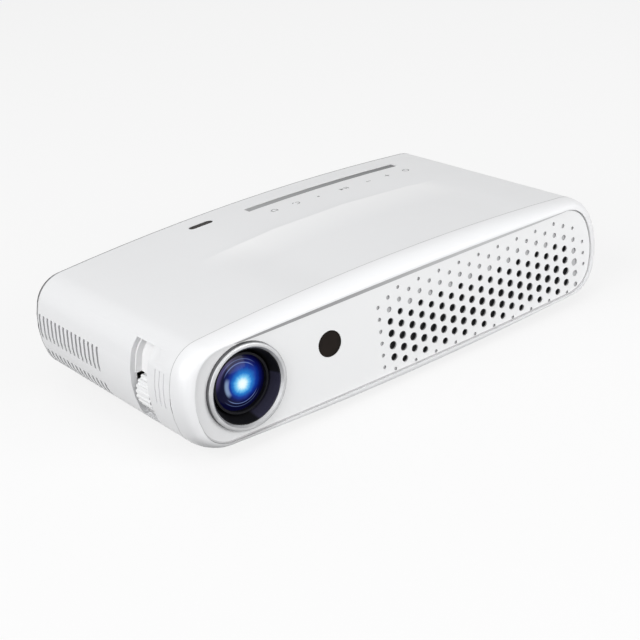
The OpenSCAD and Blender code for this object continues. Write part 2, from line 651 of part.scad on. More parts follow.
module focus_barrel() color([0.1, 0.1, 0.11]) difference() {
    union() {
        rod_y(barrel_y0, barrel_y1, lens_x, lens_z, barrel_r);
        rod_y(barrel_y0, barrel_y0 + head_len, lens_x, lens_z, head_r);
    }
    rod_y(barrel_y0 - 1, barrel_y0 + 6.3, lens_x, lens_z, head_r - 1);
    rod_y(barrel_y0, barrel_y1 + 1, lens_x, lens_z, barrel_r - 4.5);
    rod_y(barrel_y1 - 6, barrel_y1 + 1, lens_x, lens_z, barrel_r - 3.5);
    for (i = [0:3])
        ring_y(barrel_y0 + head_len + 2 + 1.6 * i, barrel_y0 + head_len + 2.8 + 1.6 * i, lens_x, lens_z,
            barrel_r + 1, barrel_r - 0.5);
}
// glass with two bowed faces: radius r, edge thickness t, face bows b0 (front) and b1 (rear)
module lens_glass(y, r, t, b0, b1) translate([lens_x, y, lens_z]) rotate([90, 0, 0]) rotate_extrude($fn = 96)
    polygon(concat(
        [for (i = [0:8]) [r * i / 8, b0 * (1 - pow(i / 8, 2))]],
        [for (i = [8:-1:0]) [r * i / 8, -t - b1 * (1 - pow(i / 8, 2))]]));
module front_lens() color([0.35, 0.45, 0.75, 0.6])
    lens_glass(barrel_y0 + 2.2, head_r - 1 - 0.05, 4.1, 3, 0);
module rear_lens() color([0.6, 0.7, 0.8, 0.6])
    lens_glass(barrel_y1 - 4.6, barrel_r - 3.5 - 0.05, 3, 1, 1.2);

// involute spur gear outline
function inv_at(rb, r) = let (t = sqrt(max(r * r / (rb * rb) - 1, 0))) t * 180 / PI - atan(t);
function gear_pts(teeth, m, slack) =
    let (rp = m * teeth / 2, rb = rp * cos(20), ra = rp + m, rf = rp - 1.25 * m,
         half = 90 / teeth - slack / rp * 90 / PI + inv_at(rb, rp),
         rs = [rf, max(rb, rf + 0.05), rp - m / 3, rp + m / 3, ra])
    [for (i = [0:teeth - 1]) let (c = 360 * i / teeth) each concat(
        [for (r = rs) let (a = c - half + inv_at(rb, r)) [r * cos(a), r * sin(a)]],
        [for (k = [4:-1:0]) let (r = rs[k], a = c + half - inv_at(rb, r)) [r * cos(a), r * sin(a)]])];
module gear_y(y0, y1, x, z, teeth, turn) translate([x, y1, z]) rotate([90, 0, 0]) rotate([0, 0, turn])
    linear_extrude(y1 - y0) polygon(gear_pts(teeth, gear_m, 0.12));
// direction from the lens axis to the thumbwheel
mesh_turn = atan2(wheel_z - lens_z, wheel_x - lens_x);
module focus_ring() color([0.2, 0.2, 0.22]) difference() {
    gear_y(ring_y0, ring_y0 + gear_w, lens_x, lens_z, ring_teeth, mesh_turn);
    rod_y(ring_y0 - 1, ring_y0 + gear_w + 1, lens_x, lens_z, holder_r + run_gap);
}
module focus_wheel() color([0.94, 0.94, 0.95]) {
    y0 = nose_y + wheel_back;
    difference() {
        union() {
            rod_y(y0, y0 + drum_w, wheel_x, wheel_z, drum_r);
            rod_y(y0 + drum_w - eps, ring_y0, wheel_x, wheel_z, 5);
            gear_y(ring_y0 - eps, ring_y0 + gear_w, wheel_x, wheel_z, pinion_teeth,
                mesh_turn + 180 + 180 / pinion_teeth);
        }
        for (i = [0:drum_flutes - 1]) rotate_about(i * 360 / drum_flutes)
            rod_y(y0 - 1, y0 + drum_w + 1, drum_r + 0.25, 0, 0.85);
        rod_y(y0 - 1, ring_y0 + gear_w + 1, wheel_x, wheel_z, axle_r + run_gap);
        ring_y(y0 - 1, y0 + 1.2, wheel_x, wheel_z, drum_r - 2, axle_r + 1.5);
    }
}
module rotate_about(a) translate([wheel_x, 0, wheel_z]) rotate([0, a, 0]) children();
module wheel_axle() color([0.7, 0.7, 0.72]) rod_y(axle_y0, axle_y1, wheel_x, wheel_z, axle_r);
// finger recess round the drum
module focus_recess() color([0.86, 0.86, 0.87]) difference() {
    recess_block(0);
    intersection() {
        difference() {
            body_slab(recess_y0, cup_y1 - 0.8, -1);
            body_slab(recess_y0 - 1, cup_y1, cup_d);
        }
        box(-body_w, -body_w / 2 + 22, recess_y0, cup_y1 - 0.8, mid_z - recess_low, mid_z + recess_high);
    }
    box(-body_w, -body_w / 2 + 22, recess_y0 + 0.6, nose_y + wheel_back + drum_w + 1.1,
        wheel_z - drum_r - 0.2, wheel_z + drum_r + 0.2);
}
module engine_housing() color([0.15, 0.15, 0.16]) difference() {
    union() {
        box(engine_x0, engine_x1, engine_y0, engine_y1, engine_z0, engine_z1);
        rod_y(engine_y0, engine_y1, engine_x1, mid_z - 6, 8);
    }
    rod_y(engine_y0 - 1, engine_y0 + 8, lens_x, lens_z, 11);
    for (x = [-1, 1], z = [-1, 1]) rod_y(engine_y0 - 1, engine_y0 + 6, lens_x + 17 * x, lens_z + 14 * z, 1);
}
module led_modules() color([0.85, 0.82, 0.7]) {
    box(lens_x - 9, lens_x + 9, engine_y1, sink_y0, mid_z - 9, mid_z + 9);
    box(engine_x0 - 5, engine_x0, engine_y0 + 8, engine_y0 + 24, mid_z - 8, mid_z + 8);
    box(lens_x - 8, lens_x + 8, engine_y0 + 8, engine_y0 + 24, engine_z1, engine_z1 + 4.2);
}
module chip_board() color([0.08, 0.3, 0.18]) union() {
    box(engine_x1, engine_x1 + 1.6, engine_y0 + 2, engine_y1 - 2, mid_z + 3, mid_z + 20);
    box(engine_x1 + 1.6, engine_x1 + 5.6, engine_y0 + 8, engine_y1 - 8, mid_z + 6, mid_z + 17);
}

// ---- cooling ----
module heat_sink() color([0.7, 0.71, 0.73]) union() {
    box(sink_x - 13, sink_x + 13, sink_y0, sink_y0 + 3, engine_z0, engine_z1);
    box(sink_x - 13, sink_x + 13, sink_y0, sink_y1, engine_z0, engine_z0 + 3);
    for (i = [1:fin_count]) box(sink_x - 13, sink_x + 13, sink_y0 + 3.3 * i, sink_y0 + 3.3 * i + 1,
        engine_z0 + 3 - eps, engine_z1);
}
fan_bore = 18.6;
module fan_frame() color([0.1, 0.1, 0.11]) difference() {
    union() {
        difference() {
            box(fan_x0, fan_x0 + fan_t, fan_y - fan_side / 2, fan_y + fan_side / 2,
                mid_z - fan_side / 2, mid_z + fan_side / 2);
            rod_x(fan_x0 - 1, fan_x0 + fan_t + 1, fan_y, mid_z, fan_bore * fan_side / 40);
        }
        rod_x(fan_x0 + fan_t - 2, fan_x0 + fan_t, fan_y, mid_z, 8);
        for (a = [0:120:240]) translate([fan_x0 + fan_t - 1.8, fan_y, mid_z]) rotate([a + 20, 0, 0])
            translate([0, -1.2, 5]) cube([1.6, 2.4, fan_side / 2 - 5.8]);
    }
    rod_x(fan_x0 + fan_t - 3, fan_x0 + fan_t + 1, fan_y, mid_z, 1.5 + run_gap);
    for (y = [-1, 1], z = [-1, 1]) rod_x(fan_x0 - 1, fan_x0 + fan_t + 1,
        fan_y + 16 * y, mid_z + 16 * z, 1.7);
}
module fan_rotor() color([0.14, 0.14, 0.15]) union() {
    rod_x(fan_x0 + 0.8, fan_x0 + fan_t - 2.6, fan_y, mid_z, 9);
    rod_x(fan_x0 + 2, fan_x0 + fan_t - 0.2, fan_y, mid_z, 1.5);
    intersection() {
        rod_x(fan_x0, fan_x0 + fan_t, fan_y, mid_z, fan_bore * fan_side / 40 - 0.5);
        for (i = [0:fan_blades - 1]) translate([fan_x0 + fan_t / 2 - 0.9, fan_y, mid_z])
            rotate([360 * i / fan_blades, 0, 0]) translate([0, 0, 8]) rotate([0, 0, 38])
                translate([-4.2, -0.5, 0]) cube([8.4, 1, 12]);
    }
}

// ---- electronics ----
module main_board() color([0.06, 0.3, 0.17]) difference() {
    box(board_x0, board_x1, board_y0, board_y1, board_z, board_z + board_t);
    for (p = concat(stand_left, stand_right)) rod_z(board_z - 1, board_z + board_t + 1, p[0], p[1], 1.6);
    for (p = case_screw_at) rod_z(board_z - 1, board_z + board_t + 1, p[0], p[1], post_r + 0.6);
}
chips = [[-30, -10, 18, 18, 1.6], [5, -20, 14, 14, 1.4], [30, 10, 20, 12, 1.6],
    [-30, 25, 12, 12, 5], [60, -10, 16, 10, 3]];
module board_chips() color([0.12, 0.12, 0.13]) for (c = chips)
    box(c[0], c[0] + c[2], c[1], c[1] + c[3], board_z + board_t, board_z + board_t + c[4]);
module board_standoffs() color([0.76, 0.62, 0.32]) {
    for (p = stand_left) rod_z(foot_h + 5, board_z, p[0], p[1], 2.6);
    for (p = stand_right) rod_z(drive_top, board_z, p[0], p[1], 2.6);
}
socket_z = board_z + board_t;
socket_y1 = back_y - 0.6;
module hdmi_socket() color([0.72, 0.72, 0.74]) {
    difference() {
        box(hdmi_x - 7.5, hdmi_x + 7.5, socket_y1 - 11.5, socket_y1, socket_z, socket_z + 6.1);
        box(hdmi_x - 7.1, hdmi_x + 7.1, socket_y1 - 9, socket_y1 + 1, socket_z + 0.8, socket_z + 5.4);
    }
    box(hdmi_x - 5.6, hdmi_x + 5.6, socket_y1 - 9 - eps, socket_y1 - 1, socket_z + 3, socket_z + 4.2);
}
module usb_sockets() color([0.74, 0.74, 0.76]) for (x = usb_x) {
    difference() {
        box(x - 7.1, x + 7.1, socket_y1 - 14, socket_y1, socket_z, socket_z + 6.9);
        box(x - 6.25, x + 6.25, socket_y1 - 12, socket_y1 + 1, socket_z + 0.9, socket_z + 6);
    }
    box(x - 5.6, x + 5.6, socket_y1 - 12 - eps, socket_y1 - 1, socket_z + 4, socket_z + 5.8);
}
module audio_jack() color([0.1, 0.1, 0.11]) difference() {
    union() {
        box(jack_x - 3.5, jack_x + 3.5, socket_y1 - 14, rear_in - 0.3, socket_z, socket_z + 6.4);
        rod_y(rear_in - 1, socket_y1, jack_x, jack_z, 2.9);
    }
    rod_y(socket_y1 - 12, socket_y1 + 1, jack_x, jack_z, jack_bore);
}
module dc_inlet() color([0.1, 0.1, 0.11]) union() {
    difference() {
        union() {
            box(inlet_x - 4.6, inlet_x + 4.6, socket_y1 - 14, rear_in - 0.3, socket_z, socket_z + 11);
            rod_y(rear_in - 1, socket_y1, inlet_x, inlet_z, 4.4);
        }
        rod_y(socket_y1 - 9.5, socket_y1 + 1, inlet_x, inlet_z, inlet_bore);
    }
    rod_y(socket_y1 - 10, socket_y1 - 1.5, inlet_x, inlet_z, 0.95);
}
speaker_x = [16, 80];
speaker_z = mid_z + 10;
module speaker_frames() color([0.13, 0.13, 0.14]) for (x = speaker_x) difference() {
    y = inner_y + mesh_t;
    union() {
        box(x - 19, x + 19, y, y + 2.4, speaker_z - 9.5, speaker_z + 9.5);
        box(x - 15, x + 15, y + 2.3, y + 9, speaker_z - 8, speaker_z + 8);
        rod_y(y + 8.9, y + 13, x, speaker_z, 7.5);
    }
    box(x - 13, x + 13, y - 1, y + 7.5, speaker_z - 6.5, speaker_z + 6.5);
}
module speaker_cones() color([0.2, 0.2, 0.21]) for (x = speaker_x)
    translate([x, inner_y + mesh_t + 7.5, speaker_z]) rotate([90, 0, 0]) union() {
        cylinder(h = 3, r1 = 2.5, r2 = 6.2);
        translate([0, 0, 3 - eps]) cylinder(h = 1.5, r = 6.2);
    }

// ---- disc drive ----
tray_z0 = drive_z + sheet_t + 0.5;
well_z = tray_z0 + tray_t;
rim_z = well_z + well_d;
rail_z0 = tray_z0 + 1;
rail_z1 = rail_z0 + 3.8;
tray_y0 = drive_y - tray_half;
tray_y1 = drive_y + tray_half;
bezel_x = body_w / 2 - 4.8;
tray_x0 = drive_x0 + 9;
disc_x = bezel_x - 2.5 - well_dia / 2;
disc_y = drive_y;
rod_dx = 14;
rod_z_at = tray_z0 + 2.7;
pit_x0 = disc_x - 19;
pit_x1 = disc_x + 23;
pit_y0 = disc_y - 17;
pit_y1 = disc_y + 57.5;
pit_floor = tray_z0 + 0.8;
screw_x = disc_x + 19.5;
lens_rest = disc_y + 24;
motor_r = 12;

// a strip along one side of the drive, from d0 to d1 outside the tray's flank
module side_strip(s, x0, x1, d0, d1, z0, z1) translate([0, drive_y, 0]) scale([1, s, 1])
    box(x0, x1, tray_half + d0, tray_half + d1, z0, z1);
module drive_base() color([0.75, 0.76, 0.78]) union() {
    difference() {
        box(drive_x0, drive_x1, drive_y0, drive_y1, drive_z, drive_top - sheet_t);
        box(drive_x0 + sheet_t, drive_x1 + 1, drive_y0 + sheet_t, drive_y1 - sheet_t,
            drive_z + sheet_t, drive_top);
    }
    // channels that guide the rails
    for (s = [-1, 1]) {
        wall_d = drive_half - tray_half - eps;
        side_strip(s, drive_x0, drive_x1, rail_out + rail_gap, wall_d, drive_z + eps, rail_z1 + 1);
        side_strip(s, drive_x0, drive_x1, 0.2, wall_d, drive_z + eps, rail_z0 - rail_gap);
        side_strip(s, drive_x0, drive_x1, 0.2, wall_d, rail_z1 + rail_gap, rail_z1 + 1);
    }
}
module drive_cover() color([0.78, 0.79, 0.81])
    box(drive_x0, drive_x1, drive_y0, drive_y1, drive_top - sheet_t, drive_top);
module drive_rails() color([0.7, 0.71, 0.73]) {
    for (s = [-1, 1])
        side_strip(s, drive_x0 + 5, drive_x1 - 1, rail_out - rail_t, rail_out, rail_z0, rail_z1);
}
module disc_tray() color([0.13, 0.13, 0.14]) difference() {
    box(tray_x0, bezel_x, tray_y0, tray_y1, tray_z0, rim_z);
    rod_z(well_z, rim_z + 1, disc_x, disc_y, well_dia / 2);
    // recess round the hub
    rod_z(well_z - 0.8, rim_z + 1, disc_x, disc_y, 20);
    // grooves for the rails
    for (s = [-1, 1]) side_strip(s, tray_x0 - 1, drive_x1, rail_out - rail_t - rail_gap, 1,
        rail_z0 - rail_gap, rail_z1 + rail_gap);
    // pit for the spindle motor and the pickup
    box(pit_x0, pit_x1, pit_y0, pit_y1, pit_floor, rim_z + 1);
    for (s = [-1, 1]) rod_y(pit_y0 - 3, pit_y1 + 1.2, disc_x + s * rod_dx, rod_z_at, rod_r + 0.02);
    rod_y(pit_y1 - 1, pit_y1 + 1.4, screw_x, rod_z_at, 0.6 + run_gap);
    box(bezel_x - 2, bezel_x + 1, disc_y - 52, disc_y - 40, button_z - 1.5, button_z + 1.5);
}
bezel_gap = 0.45;
button_y = disc_y - 46;
button_z = tray_z0 + 3.7;
module tray_bezel() color(white) difference() {
    intersection() {
        body_slab(drive_y - mouth_half + bezel_gap, drive_y + mouth_half - bezel_gap);
        box(bezel_x, body_w, drive_y0, drive_y1, mouth_z0 + bezel_gap, mouth_z1 - bezel_gap);
    }
    box(bezel_x - 1, body_w, button_y - 5.2, button_y + 5.2, button_z - 1.4, button_z + 1.4);
    rod_x(bezel_x - 1, body_w, button_y + 12, button_z, 0.7);
}
module eject_button() color([0.9, 0.9, 0.91]) union() {
    intersection() {
        body_slab(button_y - 5, button_y + 5, 0.2);
        box(bezel_x - 0.2, body_w, button_y - 5, button_y + 5, button_z - 1.2, button_z + 1.2);
    }
    box(bezel_x - 0.8, bezel_x - 0.02, button_y - 5.8, button_y + 5.8, button_z - 1.2, button_z + 1.2);
}
module spindle_motor() color([0.6, 0.61, 0.63]) difference() {
    rod_z(pit_floor, pit_floor + 3.2, disc_x, disc_y, motor_r);
    rod_z(pit_floor + 0.6, pit_floor + 4, disc_x, disc_y, 1.2 + run_gap);
}
module spindle_hub() color([0.3, 0.3, 0.32]) union() {
    rod_z(pit_floor + 0.8, pit_floor + 4, disc_x, disc_y, 1.2);
    rod_z(pit_floor + 3.5, well_z + 0.1, disc_x, disc_y, table_r);
    rod_z(well_z, well_z + 1.2, disc_x, disc_y, hub_r);
    translate([disc_x, disc_y, well_z + 1.2 - eps]) cylinder(h = 1, r1 = hub_r, r2 = hub_r - 1.6);
}
module pickup_sled() color([0.2, 0.2, 0.22]) difference() {
    union() {
        box(disc_x - rod_dx - 2.6, disc_x + rod_dx + 2.6, lens_rest - 10.5, lens_rest + 3.2,
            rod_z_at - 1.7, rod_z_at + 1.5);
        box(disc_x + rod_dx + 2.5, screw_x - 1.35, lens_rest - 3, lens_rest, rod_z_at - 0.6, rod_z_at + 0.6);
    }
    rod_y(lens_rest - 11, lens_rest + 5, disc_x + rod_dx, rod_z_at, rod_r + run_gap);
    box(disc_x - rod_dx - 3, disc_x - rod_dx + rod_r + 0.1, lens_rest - 11, lens_rest + 5,
        rod_z_at - rod_r - 0.1, rod_z_at + rod_r + 0.1);
    rod_z(rod_z_at - 1, rod_z_at + 3, disc_x, lens_rest, 2.5 + run_gap);
}
module pickup_lens() color([0.5, 0.6, 0.85, 0.7]) union() {
    rod_z(rod_z_at - 1, rod_z_at + 1.9, disc_x, lens_rest, 2.5);
    translate([disc_x, lens_rest, rod_z_at + 1.9 - eps]) cylinder(h = 0.5, r1 = 2, r2 = 1.2);
}
module guide_rods() color([0.8, 0.8, 0.82]) for (s = [-1, 1])
    rod_y(pit_y0 - 2.9, pit_y1 + 1.1, disc_x + s * rod_dx, rod_z_at, rod_r);
sled_motor_y1 = pit_y0 + 11;
module lead_screw() color([0.78, 0.78, 0.8]) union() {
    rod_y(sled_motor_y1 + 0.4, pit_y1 - 0.4, screw_x, rod_z_at, 1.1);
    rod_y(sled_motor_y1 - 3, pit_y1 + 1.2, screw_x, rod_z_at, 0.6);
}
module sled_motor() color([0.62, 0.62, 0.64]) difference() {
    union() {
        rod_y(pit_y0, sled_motor_y1, screw_x, rod_z_at, 1.8);
        box(screw_x - 1.4, screw_x + 1.4, pit_y0, sled_motor_y1, pit_floor, rod_z_at);
    }
    rod_y(sled_motor_y1 - 4, sled_motor_y1 + 1, screw_x, rod_z_at, 0.6 + run_gap);
}

top_cover();
bottom_case();
front_bezel();
front_panel();
grille_mesh();
ir_window();
ir_receiver();
light_bar();
top_window();
touch_board();
rear_panel();
rear_screws();
rubber_feet();
case_screws();
tripod_insert();
focus_recess();
lens_trim_ring();
lens_hood();
lens_holder();
ring_clip();
focus_barrel();
front_lens();
rear_lens();
focus_ring();
focus_wheel();
wheel_axle();
engine_housing();
led_modules();
chip_board();
heat_sink();
fan_frame();
fan_rotor();
main_board();
board_chips();
board_standoffs();
hdmi_socket();
usb_sockets();
audio_jack();
dc_inlet();
speaker_frames();
speaker_cones();
drive_base();
drive_cover();
drive_rails();
disc_tray();
tray_bezel();
eject_button();
spindle_motor();
spindle_hub();
pickup_sled();
pickup_lens();
guide_rods();
lead_screw();
sled_motor();
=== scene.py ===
import math

import bmesh
import bpy
from mathutils import Matrix, Vector
from mathutils.bvhtree import BVHTree


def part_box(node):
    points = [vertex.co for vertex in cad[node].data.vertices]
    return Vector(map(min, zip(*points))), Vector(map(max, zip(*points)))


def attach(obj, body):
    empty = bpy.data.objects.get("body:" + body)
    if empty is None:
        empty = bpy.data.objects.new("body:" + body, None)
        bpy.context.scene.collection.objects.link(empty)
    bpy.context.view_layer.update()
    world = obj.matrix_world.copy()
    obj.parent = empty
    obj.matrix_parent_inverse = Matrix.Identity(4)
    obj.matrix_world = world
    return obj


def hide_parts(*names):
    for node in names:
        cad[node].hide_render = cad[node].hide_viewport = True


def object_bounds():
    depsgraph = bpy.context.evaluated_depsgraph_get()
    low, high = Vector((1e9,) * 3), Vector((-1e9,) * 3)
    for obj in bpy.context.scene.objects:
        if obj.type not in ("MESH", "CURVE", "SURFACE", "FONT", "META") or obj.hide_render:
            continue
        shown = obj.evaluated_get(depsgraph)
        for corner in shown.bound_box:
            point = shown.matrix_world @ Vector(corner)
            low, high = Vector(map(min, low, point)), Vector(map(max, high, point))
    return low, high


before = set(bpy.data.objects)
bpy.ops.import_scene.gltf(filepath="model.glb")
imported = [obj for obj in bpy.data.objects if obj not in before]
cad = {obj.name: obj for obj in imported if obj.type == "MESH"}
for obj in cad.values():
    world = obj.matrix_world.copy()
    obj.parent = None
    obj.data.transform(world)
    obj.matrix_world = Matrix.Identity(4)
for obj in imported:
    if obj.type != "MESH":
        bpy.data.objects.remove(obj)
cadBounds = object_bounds()
print("frame loaded,", len(cad), "nodes")


# camera, floor and light: lengths in metres, angles in degrees
view = {"place": (-0.38794, -0.58334, 0.31217), "azimuth": -33.364, "elevation": 23.289,
        "roll": -7.451, "lens": 84.837, "sensor": 36}
studio = {"floorSize": 12.0, "floorSeen": (0.86, 0.86, 0.86), "floorColour": (0.24, 0.24, 0.243),
          "floorGlow": 0.8, "white": (1, 1, 1), "ambient": 0.29, "aim": (0.0, 0.0, 0.03)}
lamps = [
    {"name": "overhead", "place": (0.1, 0.9, 1.3), "size": 1.0, "power": 2.1},
    {"name": "overFront", "place": (-0.1, -0.6, 1.5), "size": 1.0, "power": 2.6},
    {"name": "frontRight", "place": (0.4, -1.2, 0.34), "size": 0.8, "power": 12.5},
    {"name": "leftHigh", "place": (-1.35, -0.2, 0.75), "size": 1.4, "power": 19.0},
]


def linked(name, data):
    made = bpy.data.objects.new(name, data)
    bpy.context.scene.collection.objects.link(made)
    return made


def addCamera():
    turn, tilt, roll = (math.radians(view[k]) for k in ("azimuth", "elevation", "roll"))
    back = Vector((math.sin(turn) * math.cos(tilt), -math.cos(turn) * math.cos(tilt), math.sin(tilt)))
    level = Vector((math.cos(turn), math.sin(turn), 0))
    right = level * math.cos(roll) + back.cross(level) * math.sin(roll)
    data = bpy.data.cameras.new("camera")
    data.lens = view["lens"]
    data.sensor_width = view["sensor"]
    camera = linked("camera", data)
    camera.matrix_world = (Matrix.Translation(view["place"])
                           @ Matrix((right, back.cross(right), back)).transposed().to_4x4())
    bpy.context.scene.camera = camera


def addLamps():
    for lamp in lamps:
        data = bpy.data.lights.new(lamp["name"], "AREA")
        data.shape = "SQUARE"
        data.size = lamp["size"]
        data.energy = lamp["power"]
        away = Vector(lamp["place"]) - Vector(studio["aim"])
        turn = away.to_track_quat("Z", "Y").to_matrix().to_4x4()
        linked(lamp["name"], data).matrix_world = Matrix.Translation(lamp["place"]) @ turn


# shader maths
class Wire:
    # a node's output, so that shader maths reads as plain Python
    def __init__(self, finish, out):
        self.finish = finish
        self.out = out

    def maths(self, operation, other=0.0, flip=False):
        pair = (other, self) if flip else (self, other)
        return self.finish.node("ShaderNodeMath", {"operation": operation}, {0: pair[0], 1: pair[1]})

    def __add__(self, other):
        return self.maths("ADD", other)

    __radd__ = __add__

    def __sub__(self, other):
        return self.maths("SUBTRACT", other)

    def __rsub__(self, other):
        return self.maths("SUBTRACT", other, True)

    def __mul__(self, other):
        return self.maths("MULTIPLY", other)

    __rmul__ = __mul__

    def __truediv__(self, other):
        return self.maths("DIVIDE", other)

    def __rtruediv__(self, other):
        return self.maths("DIVIDE", other, True)

    def __pow__(self, other):
        return self.maths("POWER", other)


class Finish:
    # one procedural material; node() makes any node from its type, settings and sockets
    def __init__(self, name, world=False):
        self.owner = bpy.data.worlds.new(name) if world else bpy.data.materials.new(name)
        self.owner.use_nodes = True
        self.tree = self.owner.node_tree
        self.tree.nodes.clear()

    def node(self, kind, settings=None, sockets=None, out=0):
        made = self.tree.nodes.new(kind)
        for key, value in (settings or {}).items():
            if key == "stops":
                ramp = made.color_ramp
                while len(ramp.elements) < len(value):
                    ramp.elements.new(0.5)
                for stop, (place, colour) in zip(ramp.elements, value):
                    stop.position = place
                    stop.color = (*colour, 1)
            else:
                setattr(made, key, value)
        for key, value in (sockets or {}).items():
            socket = made.inputs[key]
            if isinstance(value, Wire):
                self.tree.links.new(value.out, socket)
            elif socket.type == "RGBA":
                socket.default_value = (*value, 1) if len(value) == 3 else value
            else:
                socket.default_value = value
        return Wire(self, made.outputs[out]) if made.outputs else None

    def place(self):
        return self.node("ShaderNodeTexCoord", out="Object")

    def axes(self):
        split = self.node("ShaderNodeSeparateXYZ", None, {0: self.place()})
        return [Wire(self, socket) for socket in split.out.node.outputs]

    def grain(self, scale, detail=3.0, rough=0.55, where=None):
        return self.node("ShaderNodeTexNoise", None, {"Vector": where or self.place(), "Scale": scale,
                                                      "Detail": detail, "Roughness": rough}, "Fac")

    def stretched(self, amounts, turn=(0, 0, 0)):
        return self.node("ShaderNodeMapping", None,
                         {"Vector": self.place(), "Scale": amounts, "Rotation": turn})

    def span(self, value, low, high, start=0.0, end=1.0, kind="SMOOTHSTEP"):
        return self.node("ShaderNodeMapRange", {"interpolation_type": kind},
                         {0: value, 1: low, 2: high, 3: start, 4: end})

    def blend(self, factor, first, second):
        return self.node("ShaderNodeMix", {"data_type": "RGBA"}, {0: factor, 6: first, 7: second}, 2)

    def relief(self, height, depth, strength, under=None):
        sockets = {"Height": height, "Distance": depth, "Strength": strength}
        if under is not None:
            sockets["Normal"] = under
        return self.node("ShaderNodeBump", None, sockets)

    def mottle(self, colour, shade, scale=9, detail=4, low=0.35, high=0.7):
        # large, faint clouds of a second tone
        return self.blend(self.span(self.grain(scale, detail), low, high), colour, shade)

    def wiped(self, glossy, dull, stretch=(26, 70, 60), turn=(0, 0, 0.5), low=0.35, high=0.75):
        # broad streaks in the gloss, as from handling
        streaks = self.grain(1, 3, 0.6, self.stretched(stretch, turn))
        return self.span(streaks, low, high, glossy, dull)

    def moulded(self, skin, under=None):
        # the fine skin that a mould leaves
        return self.relief(self.grain(skin["scale"], 2, 0.6), skin["depth"], skin["strength"], under)

    def surface(self, sockets):
        shader = self.node("ShaderNodeBsdfPrincipled", None, sockets)
        self.node("ShaderNodeOutputMaterial", None, {"Surface": shader})
        return self.owner


def seenDirectly(finish):
    path = finish.node("ShaderNodeLightPath").out.node
    camera, glossy, through = (Wire(finish, path.outputs[k]) for k in
                               ("Is Camera Ray", "Is Glossy Ray", "Is Transmission Ray"))
    return camera.maths("MAXIMUM", glossy).maths("MAXIMUM", through)


def addSky():
    # white where it is seen, and a low ambient light elsewhere
    sky = Finish("sky", world=True)
    plain, white = (sky.node("ShaderNodeBackground", None, {"Color": studio["white"], "Strength": strength})
                    for strength in (studio["ambient"], 1.0))
    both = sky.node("ShaderNodeMixShader", None, {0: seenDirectly(sky), 1: plain, 2: white})
    sky.node("ShaderNodeOutputWorld", None, {"Surface": both})
    bpy.context.scene.world = sky.owner


def addFloor():
    # near white where it is seen, and greyer in the light that it sends back
    paper = Finish("floorPaper")
    seen = seenDirectly(paper)
    matt = paper.node("ShaderNodeBsdfDiffuse", None,
                      {"Color": paper.blend(seen, studio["floorColour"], studio["floorSeen"])})
    glow = paper.node("ShaderNodeEmission", None, {"Color": studio["white"], "Strength": 1.0})
    mixed = paper.node("ShaderNodeMixShader", None, {0: seen * studio["floorGlow"], 1: matt, 2: glow})
    paper.node("ShaderNodeOutputMaterial", None, {"Surface": mixed})
    bm = bmesh.new()
    bmesh.ops.create_grid(bm, x_segments=1, y_segments=1, size=studio["floorSize"] / 2)
    mesh = bpy.data.meshes.new("floor")
    bm.to_mesh(mesh)
    bm.free()
    mesh.materials.append(paper.owner)
    linked("floor", mesh)


addCamera()
addLamps()
addSky()
addFloor()
bpy.context.scene.view_settings.view_transform = "Standard"
print("camera, lamps and floor ready")


# finishes: skins have a scale, a depth in metres and a strength
skins = {
    "gloss": {"scale": 1500, "depth": 0.00001, "strength": 0.12},
    "satin": {"scale": 2400, "depth": 0.000015, "strength": 0.2},
    "cup": {"scale": 2600, "depth": 0.00003, "strength": 0.3},
    "insert": {"scale": 2200, "depth": 0.00003, "strength": 0.3},
    "coarse": {"scale": 1800, "depth": 0.00005, "strength": 0.4},
    "printed": {"scale": 3000, "depth": 0.00001, "strength": 0.2},
}
shellWhite, shellShade = (0.815, 0.82, 0.83), (0.80, 0.805, 0.815)
opticalAxis = (-0.092, 0.031)


def withPaintedShade(f, body, paintedShade):
    # painted shade along one axis, full at the first place and gone at the second
    along = f.axes()["xyz".index(paintedShade["axis"])]
    if "sinks" in paintedShade:  # and lost towards the right, between two places in x
        along = along + f.span(f.axes()[0], *paintedShade["sinks"], 0.0, paintedShade["gone"])
    amount = f.span(along, paintedShade["full"], paintedShade["gone"], 1.0, 0.0)
    if "faces" in paintedShade:  # only on the side towards the front
        amount = amount * f.span(f.axes()[1], *paintedShade["faces"], 1.0, 0.0)
    return f.blend(amount, body, paintedShade["colour"])


def mouldedPlastic(name, colour, shade, roughness, skin, coat=0.0, shine=0.4, paintedShade=None):
    # a faint mottle in the colour, uneven gloss, a very fine skin and, where given, painted shade
    f = Finish(name)
    body = f.mottle(colour, shade)
    return f.surface({
        "Base Color": withPaintedShade(f, body, paintedShade) if paintedShade else body,
        "Roughness": f.wiped(roughness, roughness + 0.05), "Normal": f.moulded(skins[skin]),
        "Coat Weight": coat, "Coat Roughness": 0.2, "Specular IOR Level": shine})


# the fold on the top: steeper ahead of it and level behind, with a painted highlight in front that stands in for
# the light on its front slope
crest = {"y": 0.01175, "edge": 0.0002, "left": -0.062, "leftFade": 0.03, "right": 0.09, "rightFade": 0.018,
         "front": 0.028, "steep": 0.1, "back": 0.03, "fall": -0.035, "light": (0.87, 0.872, 0.876),
         "amount": 0.9, "white": (0.80, 0.805, 0.815), "shade": (0.79, 0.795, 0.805)}


